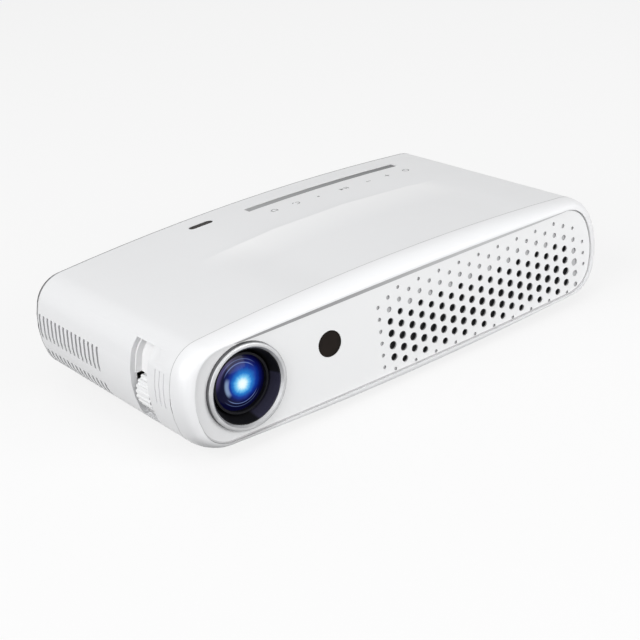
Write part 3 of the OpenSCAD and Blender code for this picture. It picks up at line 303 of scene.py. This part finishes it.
def crownedTop(name):
    # the shells' gloss white with the crest's fold, and a painted highlight ahead of the fold
    f = Finish(name)
    x, y = f.axes()[:2]
    ends = (f.span(x, crest["left"], crest["left"] + crest["leftFade"]) *
            f.span(x, crest["right"] - crest["rightFade"], crest["right"], 1.0, 0.0))
    ahead = f.span(y, crest["y"], crest["y"] - crest["front"], 0.0, 1.0, "LINEAR")
    behind = f.span(y, crest["y"], crest["y"] + crest["back"], 0.0, 1.0, "LINEAR")
    slope = ((ahead * ahead * 0.5 - ahead) * (crest["front"] * crest["steep"])
             + (behind * behind * 0.5 - behind) * (crest["back"] * crest["fall"])) * ends
    # painted highlight: a lighter colour just ahead of the fold, fading forwards
    paintedHighlight = f.span(y, crest["y"] + crest["edge"], crest["y"] - crest["edge"]) * (1 - ahead) * ends
    return f.surface({
        "Base Color": f.blend(paintedHighlight * crest["amount"], f.mottle(crest["white"], crest["shade"]), crest["light"]),
        "Roughness": f.wiped(0.3, 0.35), "Normal": f.moulded(skins["gloss"], f.relief(slope, 1.0, 1.0)),
        "Coat Weight": 0.1, "Coat Roughness": 0.2, "Specular IOR Level": 0.4})


# the panel's painted shade: greyer at its left end, and gathered in the dimples and in the mouths of the holes,
# places in y behind its face
panelShade = {"face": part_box("front_panel")[0].y, "white": (0.83, 0.835, 0.84), "second": (0.815, 0.82, 0.825),
              "left": -0.1185, "fade": 0.05, "leftShadeGrey": (0.70, 0.703, 0.71),
              "dimple": (0.0001, 0.0005), "dimpleGrey": (0.46, 0.462, 0.47),
              "hole": (0.00085, 0.001), "holeBlack": (0.05, 0.05, 0.052)}


def perforatedFront(name):
    # satin white, with painted shade at its left end and in its dimples and holes
    f = Finish(name)
    x, y = f.axes()[:2]
    dimple, hole = ([panelShade["face"] + deep for deep in panelShade[kind]] for kind in ("dimple", "hole"))
    left = f.span(x, panelShade["left"], panelShade["left"] + panelShade["fade"], 1.0, 0.0)
    face = f.blend(left, f.mottle(panelShade["white"], panelShade["second"]), panelShade["leftShadeGrey"])
    shaded = f.blend(f.span(y, *dimple), face, panelShade["dimpleGrey"])
    return f.surface({
        "Base Color": f.blend(f.span(y, *hole), shaded, panelShade["holeBlack"]),
        "Roughness": f.wiped(0.36, 0.42), "Normal": f.moulded(skins["satin"]), "Specular IOR Level": 0.35})


def groovedBar(name, left, right):
    # satin grey bar, paler at its left end
    f = Finish(name)
    along = f.span(f.axes()[0], left, right, 0.0, 1.0, "LINEAR")
    fine = f.grain(2200, 2)
    return f.surface({
        "Base Color": f.blend(along, (0.36, 0.362, 0.366), (0.2, 0.202, 0.206)),
        "Roughness": f.span(fine, 0.3, 0.7, 0.5, 0.62), "Specular IOR Level": 0.2,
        "Normal": f.relief(fine, 0.00003, 0.3)})


def metalFinish(name, colour, roughness, stretch):
    # brushed or cast metal: fine lines along one axis, stains that are a little duller
    f = Finish(name)
    lines = f.grain(1, 2, 0.5, f.stretched(stretch))
    return f.surface({
        "Base Color": f.blend(f.span(f.grain(60, 3), 0.4, 0.75), colour, tuple(0.8 * c for c in colour)),
        "Metallic": 1.0, "Roughness": f.span(lines, 0.3, 0.7, roughness * 0.8, roughness * 1.25),
        "Normal": f.relief(lines, 0.00003, 0.35)})


def aroundAxis(f):
    # places to the right of and above the optical axis, and the distance from it
    x, y, z = f.axes()
    right, up = x - opticalAxis[0], z - opticalAxis[1]
    return right, up, (right ** 2 + up ** 2) ** 0.5, y


def turnedMetal(name, colour, roughness, ridges, metallic=1.0, shine=0.5, shadeFrom=None):
    # a lathe-turned part on the optical axis: fine rings about that axis, and where given painted shade at its
    # outer edge
    f = Finish(name)
    reach, y = aroundAxis(f)[2:]
    lines = (reach * ridges + y * ridges * 0.7).maths("SINE")
    dust = f.grain(220, 3)
    face = f.blend(f.span(dust, 0.5, 0.8), colour, tuple(min(1, 1.15 * c + 0.002) for c in colour))
    if shadeFrom:  # painted shade: the outer edge, beyond the given distance in metres from the axis, is painted dark
        face = f.blend(f.span(reach, shadeFrom, shadeFrom + 0.0001, 0.0, 0.7), face, (0.06, 0.06, 0.065))
    return f.surface({
        "Base Color": face, "Metallic": metallic, "Specular IOR Level": shine,
        "Roughness": f.span(dust, 0.3, 0.7, roughness * 0.85, roughness * 1.2),
        "Normal": f.relief(lines, 0.00002, 0.3)})


def hoodFinish(name):
    # black hood: turned rings, and a painted violet grey reflection at the lower right
    f = Finish(name)
    right, up, reach = aroundAxis(f)[:3]
    paintedReflection = f.span(up, -0.0005, 0.0008, 1.0, 0.0) * f.span(right + up * 0.35, -0.0035, -0.0015)
    return f.surface({
        "Base Color": f.blend(paintedReflection, (0.005, 0.005, 0.006), (0.026, 0.025, 0.045)),
        "Roughness": f.span(f.grain(220, 3), 0.3, 0.7, 0.45, 0.6), "Specular IOR Level": 0.12,
        "Normal": f.relief((reach * 9000).maths("SINE"), 0.00002, 0.3)})


def wovenMesh(name, threads=10500):
    # black acoustic cloth: threads over and under at 0.6 mm
    f = Finish(name)
    x, z = f.axes()[::2]
    weave = (x * threads).maths("SINE") * (z * threads).maths("SINE")
    return f.surface({
        "Base Color": f.blend(f.span(weave, -0.4, 0.6), (0.006, 0.006, 0.007), (0.03, 0.03, 0.032)),
        "Roughness": f.span(f.grain(900, 3), 0.3, 0.7, 0.75, 0.95),
        "Normal": f.relief(weave, 0.0001, 0.6)})


def smokedWindow(name):
    # dark infrared window: deep, glossy, with faint dust
    f = Finish(name)
    cloud = f.grain(90, 2)
    return f.surface({
        "Base Color": f.blend(f.span(cloud, 0.3, 0.7), (0.009, 0.007, 0.006), (0.016, 0.012, 0.01)),
        "Roughness": f.span(f.grain(1400, 2), 0.55, 0.8, 0.35, 0.5), "Specular IOR Level": 0.06,
        "Normal": f.relief(cloud, 0.00002, 0.1)})


def boardFinish(name):
    # green solder mask over copper tracks, with plated holes
    f = Finish(name)
    tracks = f.node("ShaderNodeTexVoronoi", {"distance": "CHEBYCHEV", "feature": "DISTANCE_TO_EDGE"},
                    {"Vector": f.stretched((1, 1, 0.2)), "Scale": 170.0}, "Distance")
    dots = f.node("ShaderNodeTexVoronoi", None, {"Vector": f.place(), "Scale": 420.0}, "Distance")
    copper, plated = f.span(tracks, 0.05, 0.09, 1.0, 0.0), f.span(dots, 0.12, 0.16, 1.0, 0.0)
    mask = f.blend(copper, (0.006, 0.075, 0.03), (0.015, 0.15, 0.055))
    return f.surface({
        "Base Color": f.blend(plated, mask, (0.55, 0.48, 0.3)), "Metallic": plated * 0.9,
        "Roughness": f.span(f.grain(300), 0.3, 0.7, 0.28, 0.42),
        "Normal": f.relief(copper, 0.00004, 0.5)})


def grainyFinish(name, fine, colour, shade, dull, bump, cloud=None):
    # rubber, paper, epoxy and phosphor: a fine grain in the gloss and the relief
    f = Finish(name)
    grain = f.grain(*fine)
    return f.surface({
        "Base Color": f.blend(cloud(f) if cloud else grain, colour, shade),
        "Roughness": f.span(grain, 0.3, 0.7, *dull), "Normal": f.relief(grain, *bump)})


finishes = {
    "white_gloss": mouldedPlastic("glossWhiteShell", shellWhite, shellShade, 0.3, "gloss", coat=0.15),
    "white_front": mouldedPlastic("satinWhiteFront", (0.84, 0.845, 0.85), (0.825, 0.83, 0.835), 0.34,
                                  "satin", coat=0.1),
    "recess_white": mouldedPlastic("whiteCup", (0.86, 0.86, 0.865), (0.83, 0.83, 0.835), 0.45, "cup"),
    "grey_insert": mouldedPlastic("greyLightBar", (0.17, 0.172, 0.175), (0.15, 0.152, 0.155), 0.5, "insert"),
    "dark_plastic": mouldedPlastic("charcoalPlastic", (0.03, 0.03, 0.032), (0.045, 0.045, 0.047), 0.5,
                                   "coarse", shine=0.15),
    "black_mesh": wovenMesh("blackGrilleCloth"),
    "dark_window": smokedWindow("smokedWindow"),
    "lens_glass": smokedWindow("darkGlass"),
    "silver_trim": turnedMetal("silverRing", (0.44, 0.443, 0.45), 0.5, 16000, shadeFrom=0.02018),
    "black_anodised": turnedMetal("blackAnodised", (0.006, 0.006, 0.008), 0.5, 9000, 0.0, 0.12),
    "steel": metalFinish("brushedSteel", (0.58, 0.58, 0.59), 0.3, (90, 2600, 2600)),
    "brass": metalFinish("turnedBrass", (0.72, 0.53, 0.26), 0.28, (1800, 1800, 300)),
    "bare_aluminium": metalFinish("castAluminium", (0.74, 0.75, 0.77), 0.38, (700, 700, 180)),
    "socket_steel": metalFinish("platedSocket", (0.66, 0.66, 0.67), 0.24, (400, 2200, 2200)),
    "board_green": boardFinish("circuitBoard"),
    "rubber": grainyFinish("footRubber", (2600, 3), (0.018, 0.018, 0.019), (0.04, 0.04, 0.041),
                           (0.7, 0.9), (0.00008, 0.5), lambda f: f.grain(120)),
    "chip_black": grainyFinish("chipBlack", (3200, 2), (0.016, 0.016, 0.017), (0.03, 0.03, 0.031),
                               (0.5, 0.68), (0.00003, 0.4), lambda f: f.span(f.grain(140), 0.4, 0.7)),
    "paper_cone": grainyFinish("speakerPaper", (1500, 4, 0.7), (0.02, 0.02, 0.022), (0.055, 0.053, 0.05),
                               (0.75, 0.95), (0.00012, 0.6)),
    "led_white": grainyFinish("ledPhosphor", (2400, 2), (0.8, 0.72, 0.4), (0.86, 0.82, 0.66),
                              (0.35, 0.5), (0.00003, 0.3)),
    "mark_ink": mouldedPlastic("printedMarks", (0.2, 0.2, 0.205), (0.25, 0.25, 0.255), 0.7, "printed"),
    "gap_grey": mouldedPlastic("lipShadow", (0.34, 0.34, 0.345), (0.38, 0.38, 0.385), 0.7, "printed"),
    "seam_grey": mouldedPlastic("shutLineGrey", (0.5, 0.5, 0.505), (0.46, 0.46, 0.465), 0.7, "printed"),
    # painted shadow under the bezel's top lip, darker towards the left
    "lip_grey": mouldedPlastic("paintedLipShadowGrey", (0.55, 0.552, 0.56), (0.52, 0.522, 0.53), 0.7, "printed",
                               paintedShade={"axis": "x", "full": -0.06, "gone": 0.06, "colour": (0.33, 0.33, 0.335)}),
}
ownFinish = {  # nodes that have a finish of their own
    "lens_hood": hoodFinish("blackHood"),
    "top_cover": crownedTop("crownedTop"),
    "front_panel": perforatedFront("perforatedFront"),
    "light_bar": groovedBar("groovedBar", -0.007, 0.091),
    # the bezel has painted shade at its foot: darkest low down, fading upwards, gone towards the right, on its
    # front side only
    "front_bezel": mouldedPlastic("bezelWhite", shellWhite, shellShade, 0.3, "gloss", coat=0.15,
                                  paintedShade={"axis": "z", "full": 0.007, "gone": 0.019, "sinks": (-0.105, -0.05),
                                        "faces": (-0.068, -0.062), "colour": (0.52, 0.522, 0.53)}),
}
print(len(finishes) + len(ownFinish), "finishes made")


# CAD nodes keep their shape: a finish and smooth shading for each; angles in degrees
smooth = {"cadMerge": 0.00001, "cadAngle": 32, "merge": 0.000001, "angle": 30}


def shadingGroup():
    group = bpy.data.node_groups.new("evenShading", "GeometryNodeTree")
    for direction in ("INPUT", "OUTPUT"):
        group.interface.new_socket("Geometry", in_out=direction, socket_type="NodeSocketGeometry")

    def add(kind, sockets, **settings):
        made = group.nodes.new(kind)
        for key, value in settings.items():
            setattr(made, key, value)
        for key, value in sockets.items():
            if isinstance(value, bpy.types.NodeSocket):
                group.links.new(value, made.inputs[key])
            else:
                made.inputs[key].default_value = value
        return made

    start = add("NodeGroupInput", {})
    merged = add("GeometryNodeMergeByDistance", {"Geometry": start.outputs[0], "Distance": smooth["cadMerge"]})
    plain = add("GeometryNodeRemoveAttribute", {"Geometry": merged.outputs[0], "Name": "custom_normal"})
    faces = add("GeometryNodeSetShadeSmooth", {"Geometry": plain.outputs[0], "Shade Smooth": True}, domain="FACE")
    angle = add("GeometryNodeInputMeshEdgeAngle", {})
    flat = add("FunctionNodeCompare", {0: angle.outputs[0], 1: math.radians(smooth["cadAngle"])},
               operation="LESS_THAN")
    edges = add("GeometryNodeSetShadeSmooth", {"Geometry": faces.outputs[0], "Shade Smooth": flat.outputs[0]},
                domain="EDGE")
    add("NodeGroupOutput", {0: edges.outputs[0]})
    return group


evenShading = shadingGroup()
for name, node in cad.items():
    for place in node.material_slots:
        place.material = ownFinish.get(name) or finishes[place.material.name.split(".")[0]]
    even = node.modifiers.new("evenShading", "NODES")
    even.node_group = evenShading
print("CAD nodes finished")


# new pieces
def keep(bm, name, body, finish, replaced=()):
    bmesh.ops.remove_doubles(bm, verts=bm.verts, dist=smooth["merge"])
    bmesh.ops.recalc_face_normals(bm, faces=bm.faces)
    mesh = bpy.data.meshes.new(name)
    bm.to_mesh(mesh)
    bm.free()
    mesh.shade_smooth()
    mesh.set_sharp_from_angle(angle=math.radians(smooth["angle"]))
    mesh.materials.append(finish)
    piece = linked(name, mesh)
    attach(piece, body)
    if replaced:
        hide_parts(*replaced)
    return piece


def copied(node):
    # a merged bmesh of a CAD node, without the normals it came with
    plain = cad[node].data.copy()
    stored = plain.attributes.get("custom_normal")
    if stored:
        plain.attributes.remove(stored)
    bm = bmesh.new()
    bm.from_mesh(plain)
    bpy.data.meshes.remove(plain)
    bmesh.ops.remove_doubles(bm, verts=bm.verts, dist=smooth["cadMerge"])
    return bm


# front lens: its size comes from the node that it replaces
lensLow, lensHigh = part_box("front_lens")
lens = {"x": (lensLow.x + lensHigh.x) / 2, "z": (lensLow.z + lensHigh.z) / 2, "rings": 16, "steps": 128,
        "radius": (lensHigh.x - lensLow.x) / 2, "front": lensLow.y, "back": lensHigh.y, "bow": 0.003}
# its light, in millimetres from the axis; a ring is its radius, how wide it is full, where it ends, its strength
glass = {
    "stops": [(0.0, (0.95, 1.0, 1.0)), (0.17, (0.78, 0.96, 0.96)), (0.31, (0.19, 0.58, 0.87)),
              (0.46, (0.013, 0.19, 0.58)), (0.64, (0.0015, 0.03, 0.28)), (0.82, (0.001, 0.004, 0.09)),
              (1.0, (0.001, 0.001, 0.018))],
    "glowReach": 10.4, "rays": 1.6, "raySize": 1.4, "rayTurns": 2.0, "rayLength": 0.12,
    "lightFrom": (0.9, 0.44), "pull": 2.2, "pulled": (3.0, 12.0),
    "arcs": [(9.4, 0.1, 0.3, 0.4), (10.9, 0.08, 0.25, 0.22)], "arcEnds": (0.5, 0.85), "arcBlue": (0.3, 0.42, 0.85),
    "crescent": (7.6, 0.3, 1.4, 1.0), "crescentEnds": (-0.98, -0.78, 0.42, 0.0), "crescentBlue": (0.5, 0.68, 0.95),
    "sheen": (11.4, 0.3, 1.6, 1.0), "sheenEnds": (-16.5, -10.0, 0.2, 0.0), "sheenViolet": (0.3, 0.24, 0.6),
    "coating": (0.004, 0.012, 0.04), "rim": (0.002, 0.002, 0.006), "rimFrom": (2.0, 12.0), "ripple": 6.2}


def litGlass():
    # coated front element with the lamp's light painted into it as glow: white core, blue halo and thin arcs, a
    # pale crescent as a painted reflection and a painted violet sheen
    f = Finish("litGlass")
    x, z = f.axes()[::2]
    right, up = (x - lens["x"]) * 1000, (z - lens["z"]) * 1000
    reach = (right ** 2 + up ** 2) ** 0.5
    away = reach + 0.01  # never nothing, so that it can divide

    def ring(radius, full, gone, strength):
        return f.span((reach - radius).maths("ABSOLUTE"), full, gone, strength, 0.0)

    toLight = (right * glass["lightFrom"][0] + up * glass["lightFrom"][1]) / away
    sweep = right.maths("ARCTAN2", up, True)
    rays = f.grain(glass["raySize"], 3, 0.6, f.node("ShaderNodeCombineXYZ", None, {
        0: sweep * glass["rayTurns"], 1: reach * glass["rayLength"], 2: 0.0}))
    spread = (reach + (rays - 0.5) * glass["rays"]
              - toLight * f.span(reach, *glass["pulled"]) * glass["pull"])
    glow = f.node("ShaderNodeValToRGB", {"stops": glass["stops"]},
                  {0: f.span(spread, 0.0, glass["glowReach"], 0.0, 1.0, "LINEAR")})
    upright = (up / away).maths("ABSOLUTE")
    arcs = (ring(*glass["arcs"][0]) + ring(*glass["arcs"][1])) * f.span(upright, *glass["arcEnds"])
    # painted reflection: a pale crescent at the left
    crescent = ring(*glass["crescent"]) * f.span(right / away, *glass["crescentEnds"])
    # painted sheen: violet, at the upper left
    sheen = ring(*glass["sheen"]) * f.span(right - up, *glass["sheenEnds"])
    lit = f.blend(sheen, f.blend(crescent, glow, glass["crescentBlue"]), glass["sheenViolet"])
    return f.surface({
        "Base Color": f.blend(f.span(reach, *glass["rimFrom"]), glass["coating"], glass["rim"]),
        "Roughness": f.span(f.grain(900), 0.4, 0.8, 0.1, 0.2),
        "Emission Color": f.blend(arcs, lit, glass["arcBlue"]),
        "Emission Strength": 1.0, "Specular IOR Level": 0.08,
        "Normal": f.relief(reach * glass["ripple"], 0.000001, 0.1)})


def turned(profile):
    # spins a closed profile of (radius, y), in metres, about the optical axis
    bm = bmesh.new()
    points = [bm.verts.new((lens["x"] + r, y, lens["z"])) for r, y in profile]
    edges = [bm.edges.new((points[i - 1], points[i])) for i in range(len(points))]
    bmesh.ops.spin(bm, geom=points + edges, cent=(lens["x"], 0, lens["z"]), axis=(0, 1, 0),
                   angle=2 * math.pi, steps=lens["steps"], use_merge=True)
    return bm


def addFrontGlass():
    bowed = [(lens["radius"] * i / lens["rings"], lens["front"] + lens["bow"] * (i / lens["rings"]) ** 2)
             for i in range(lens["rings"] + 1)]
    profile = bowed + [(lens["radius"], lens["back"]), (0.0, lens["back"])]
    keep(turned(profile), "front_glass", "barrel", litGlass(), ["front_lens"])


addFrontGlass()
print("front glass made")


# front plate: the panel with one more row of holes, and one of dimples that follows its bowed bottom edge
lowRows = {"first": -0.0109, "pitch": 0.0062, "columns": 19, "sides": 24, "over": 0.001,
           "holeHeight": 0.011575, "holeRadius": 0.0017, "holeDeep": 0.0034,
           "dimpleHeight": 0.00855, "dimpleRadius": 0.0009, "dimpleDeep": 0.0008,
           "edge": 0.0067, "bow": 4.033, "margin": 0.0004}


def addCutter(bm, x, z, radius, front, deep):
    # a cylinder that starts ahead of the face and ends deep behind it
    over = lowRows["over"]
    turn = (Matrix.Translation((x, front - over + (deep + over) / 2, z))
            @ Matrix.Rotation(math.radians(90), 4, "X"))
    bmesh.ops.create_cone(bm, cap_ends=True, segments=lowRows["sides"], radius1=radius, radius2=radius,
                          depth=deep + over, matrix=turn)


def addFrontPlate():
    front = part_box("front_panel")[0].y
    tools = bmesh.new()
    for i in range(lowRows["columns"]):
        x = lowRows["first"] + lowRows["pitch"] * i
        if i % 2:
            addCutter(tools, x, lowRows["holeHeight"], lowRows["holeRadius"], front, lowRows["holeDeep"])
        else:
            lowest = lowRows["edge"] + x * x / (2 * lowRows["bow"]) + lowRows["dimpleRadius"] + lowRows["margin"]
            addCutter(tools, x, max(lowRows["dimpleHeight"], lowest), lowRows["dimpleRadius"], front,
                      lowRows["dimpleDeep"])
    pair = []
    for name, bm in (("plate", copied("front_panel")), ("plateTools", tools)):
        mesh = bpy.data.meshes.new(name)
        bm.to_mesh(mesh)
        bm.free()
        pair.append(linked(name, mesh))
    cut = pair[0].modifiers.new("cut", "BOOLEAN")
    cut.operation, cut.solver, cut.object = "DIFFERENCE", "EXACT", pair[1]
    done = bpy.data.meshes.new_from_object(pair[0].evaluated_get(bpy.context.evaluated_depsgraph_get()))
    bm = bmesh.new()
    bm.from_mesh(done)
    for item in pair:
        mesh = item.data
        bpy.data.objects.remove(item)
        bpy.data.meshes.remove(mesh)
    bpy.data.meshes.remove(done)
    openEdges = sum(1 for e in bm.edges if len(e.link_faces) != 2)
    print("front plate cut,", len(bm.faces), "faces, open edges:", openEdges)
    keep(bm, "front_plate", "housing", ownFinish["front_panel"], ["front_panel"])


addFrontPlate()


# touch marks on the top, in millimetres: each sign with its place in x and y
signs = {"rows": [("house", 2.1, 38.0), ("back", 15.9, 37.4), ("dot", 29.4, 36.7), ("play", 45.7, 36.4),
                  ("minus", 62.2, 36.4), ("plus", 75.4, 37.0), ("power", 88.5, 37.4)],
         "size": 1.9, "line": 0.5, "steps": 20, "unit": 0.001,
         "above": 0.2, "lift": 0.00002, "thick": 0.00004}  # metres


def topTree():
    mesh = cad["top_cover"].data
    return BVHTree.FromPolygons([v.co.copy() for v in mesh.vertices], [tuple(p.vertices) for p in mesh.polygons])


def addBar(bm, across, along, width, height, turn=0.0):
    made = bmesh.ops.create_grid(bm, x_segments=1, y_segments=1, size=0.5)
    place = (Matrix.Translation((across, along, 0)) @ Matrix.Rotation(math.radians(turn), 4, "Z")
             @ Matrix.Diagonal((width, height, 1, 1)))
    bmesh.ops.transform(bm, matrix=place, verts=made["verts"])


def addArc(bm, radius, line, start, sweep):
    ends = [bm.verts.new(Matrix.Rotation(math.radians(start), 3, "Z") @ Vector((radius + k * line / 2, 0, 0)))
            for k in (-1, 1)]
    edge = bm.edges.new(ends)
    bmesh.ops.spin(bm, geom=ends + [edge], cent=(0, 0, 0), axis=(0, 0, 1), angle=math.radians(sweep),
                   steps=signs["steps"])


def drawSign(bm, kind):
    size, line = signs["size"], signs["line"]
    if kind == "house":
        addBar(bm, 0, -size * 0.7, size * 1.7, line)
        for side in (-1, 1):
            addBar(bm, side * size * 0.85, -size * 0.2, line, size)
            addBar(bm, side * size * 0.45, size * 0.55, size * 1.1, line, -side * 35)
    elif kind == "back":
        addArc(bm, size * 0.8, line, -120, 210)
        addBar(bm, -size * 0.75, size * 0.75, size * 0.9, line, 40)
    elif kind == "dot":
        bmesh.ops.create_circle(bm, cap_ends=True, radius=size * 0.35, segments=signs["steps"])
    elif kind == "play":
        made = bmesh.ops.create_circle(bm, cap_ends=True, radius=size * 0.85, segments=3)
        place = Matrix.Translation((-size * 0.8, 0, 0)) @ Matrix.Rotation(math.radians(-90), 4, "Z")
        bmesh.ops.transform(bm, matrix=place, verts=made["verts"])
        for shift in (0.55, 1.25):
            addBar(bm, size * shift, 0, line * 1.2, size * 1.5)
    elif kind == "power":
        addArc(bm, size * 0.9, line, 125, 290)
        addBar(bm, 0, size * 0.75, line, size * 1.1)
    else:
        addBar(bm, 0, 0, size * 1.6, line)
        if kind == "plus":
            addBar(bm, 0, 0, line, size * 1.6)


def addSigns():
    tree = topTree()
    whole = bmesh.new()
    unit = signs["unit"]
    for kind, across, along in signs["rows"]:
        bm = bmesh.new()
        drawSign(bm, kind)
        bmesh.ops.transform(bm, matrix=Matrix.Diagonal((unit, unit, unit, 1)), verts=bm.verts)
        bmesh.ops.translate(bm, vec=(across * unit, along * unit, 0), verts=bm.verts)
        for v in bm.verts:
            hit = tree.ray_cast(Vector((v.co.x, v.co.y, signs["above"])), Vector((0, 0, -1)))[0]
            v.co.z = hit.z + signs["lift"]
        bmesh.ops.recalc_face_normals(bm, faces=bm.faces)
        for face in bm.faces:
            if face.normal.z < 0:
                face.normal_flip()
        bmesh.ops.solidify(bm, geom=bm.faces[:], thickness=signs["thick"])
        part = bpy.data.meshes.new(kind)
        bm.to_mesh(part)
        bm.free()
        whole.from_mesh(part)
        bpy.data.meshes.remove(part)
    keep(whole, "touch_marks", "housing", finishes["mark_ink"])


addSigns()


# a thin grey strip in front of the panel as a painted shadow under the bezel's top lip, taller at the left
paintedLipShadow = {"from": -0.096, "to": 0.106, "deep": 0.0024, "shallow": 0.0016, "steps": 64, "lift": 0.00003,
          "under": 0.0001, "bow": 4.0329, "taper": 0.3, "thick": 0.00002}


def addPaintedLipShadow():
    low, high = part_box("front_panel")
    bm = bmesh.new()
    bmesh.ops.create_grid(bm, x_segments=paintedLipShadow["steps"], y_segments=2, size=1.0)
    for v in bm.verts:
        along, down = (v.co.x + 1) / 2, (1 - v.co.y) / 2
        across = paintedLipShadow["from"] + (paintedLipShadow["to"] - paintedLipShadow["from"]) * along
        rise = high.z - across ** 2 / (2 * paintedLipShadow["bow"]) + paintedLipShadow["under"]
        taper = math.sin(math.pi * along) ** paintedLipShadow["taper"]
        height = (paintedLipShadow["deep"] + (paintedLipShadow["shallow"] - paintedLipShadow["deep"]) * along) * taper + paintedLipShadow["under"]
        v.co = Vector((across, low.y - paintedLipShadow["lift"], rise - height * down))
    bmesh.ops.recalc_face_normals(bm, faces=bm.faces)
    bmesh.ops.solidify(bm, geom=bm.faces[:], thickness=paintedLipShadow["thick"])
    keep(bm, "painted_lip_shadow", "housing", finishes["lip_grey"])


addPaintedLipShadow()


# shut lines: thin grey bands where the shells meet the bezel and the back, and the panel meets the bezel
shutLines = {"width": 0.0004, "rear": 0.0007, "swell": 0.00003, "ahead": 0.0001, "thick": 0.00002,
             "weld": 0.000001, "reveal": 0.0004, "lower": 0.0003, "panelCut": 0.0003}


def outlineAt(node, cut):
    # the outermost loop of a node's section across y
    bm = copied(node)
    bmesh.ops.bisect_plane(bm, geom=bm.verts[:] + bm.edges[:] + bm.faces[:], dist=shutLines["weld"],
                           plane_co=(0, cut, 0), plane_no=(0, 1, 0), clear_inner=True, clear_outer=True)
    loop, waiting = set(), [max(bm.verts, key=lambda v: v.co.x)]
    while waiting:
        v = waiting.pop()
        if v not in loop:
            loop.add(v)
            waiting += [edge.other_vert(v) for edge in v.link_edges]
    bmesh.ops.delete(bm, geom=[v for v in bm.verts if v not in loop], context="VERTS")
    return bm


def grow(bm, verts, amount):
    # scales a loop about its middle so that it stands out by amount on every side
    low = Vector([min(v.co[k] for v in verts) for k in range(3)])
    high = Vector([max(v.co[k] for v in verts) for k in range(3)])
    size = high - low
    bmesh.ops.scale(bm, vec=(1 + 2 * amount / size.x, 1, 1 + 2 * amount / size.z),
                    space=Matrix.Translation(-(low + high) / 2), verts=verts)


def extruded(bm):
    # the second edge of a band that starts as a loop
    made = bmesh.ops.extrude_edge_only(bm, edges=bm.edges[:])["geom"]
    return [v for v in made if isinstance(v, bmesh.types.BMVert)]


def finishBand(bm, name, finish):
    bmesh.ops.recalc_face_normals(bm, faces=bm.faces)
    bmesh.ops.solidify(bm, geom=bm.faces[:], thickness=shutLines["thick"])
    for v in bm.verts:  # the bands end flush with the widest point of the body
        v.co.x = min(max(v.co.x, cadBounds[0][0]), cadBounds[1][0])
    keep(bm, name, "housing", finishes[finish])


def addShutLine(name, shift, width, finish):
    bm = outlineAt("front_bezel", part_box("top_cover")[0].y - shutLines["ahead"])
    bmesh.ops.translate(bm, vec=(0, shift, 0), verts=bm.verts)
    grow(bm, bm.verts[:], shutLines["swell"])
    bmesh.ops.translate(bm, vec=(0, width, 0), verts=extruded(bm))
    finishBand(bm, name, finish)


def addReveal():
    face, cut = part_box("front_panel")[0].y, shutLines["panelCut"]
    bm = outlineAt("front_panel", face + cut)
    bmesh.ops.translate(bm, vec=(0, -cut - paintedLipShadow["lift"] / 2, 0), verts=bm.verts)
    band = extruded(bm)
    grow(bm, band, -shutLines["reveal"])
    # the band is a dark joint, wider below the axis as painted shade of the bezel's lower lip
    for v in band:
        if v.co.z < lens["z"]:
            v.co.z += shutLines["lower"]
    finishBand(bm, "panel_reveal", "seam_grey")


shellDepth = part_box("top_cover")[1].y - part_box("top_cover")[0].y
rearShift = shellDepth - shutLines["rear"] + shutLines["ahead"]
addShutLine("front_shut_line", 0, shutLines["width"], "seam_grey")
addShutLine("rear_shut_line", rearShift, shutLines["rear"], "gap_grey")
addReveal()
print("marks, gap and shut lines made")
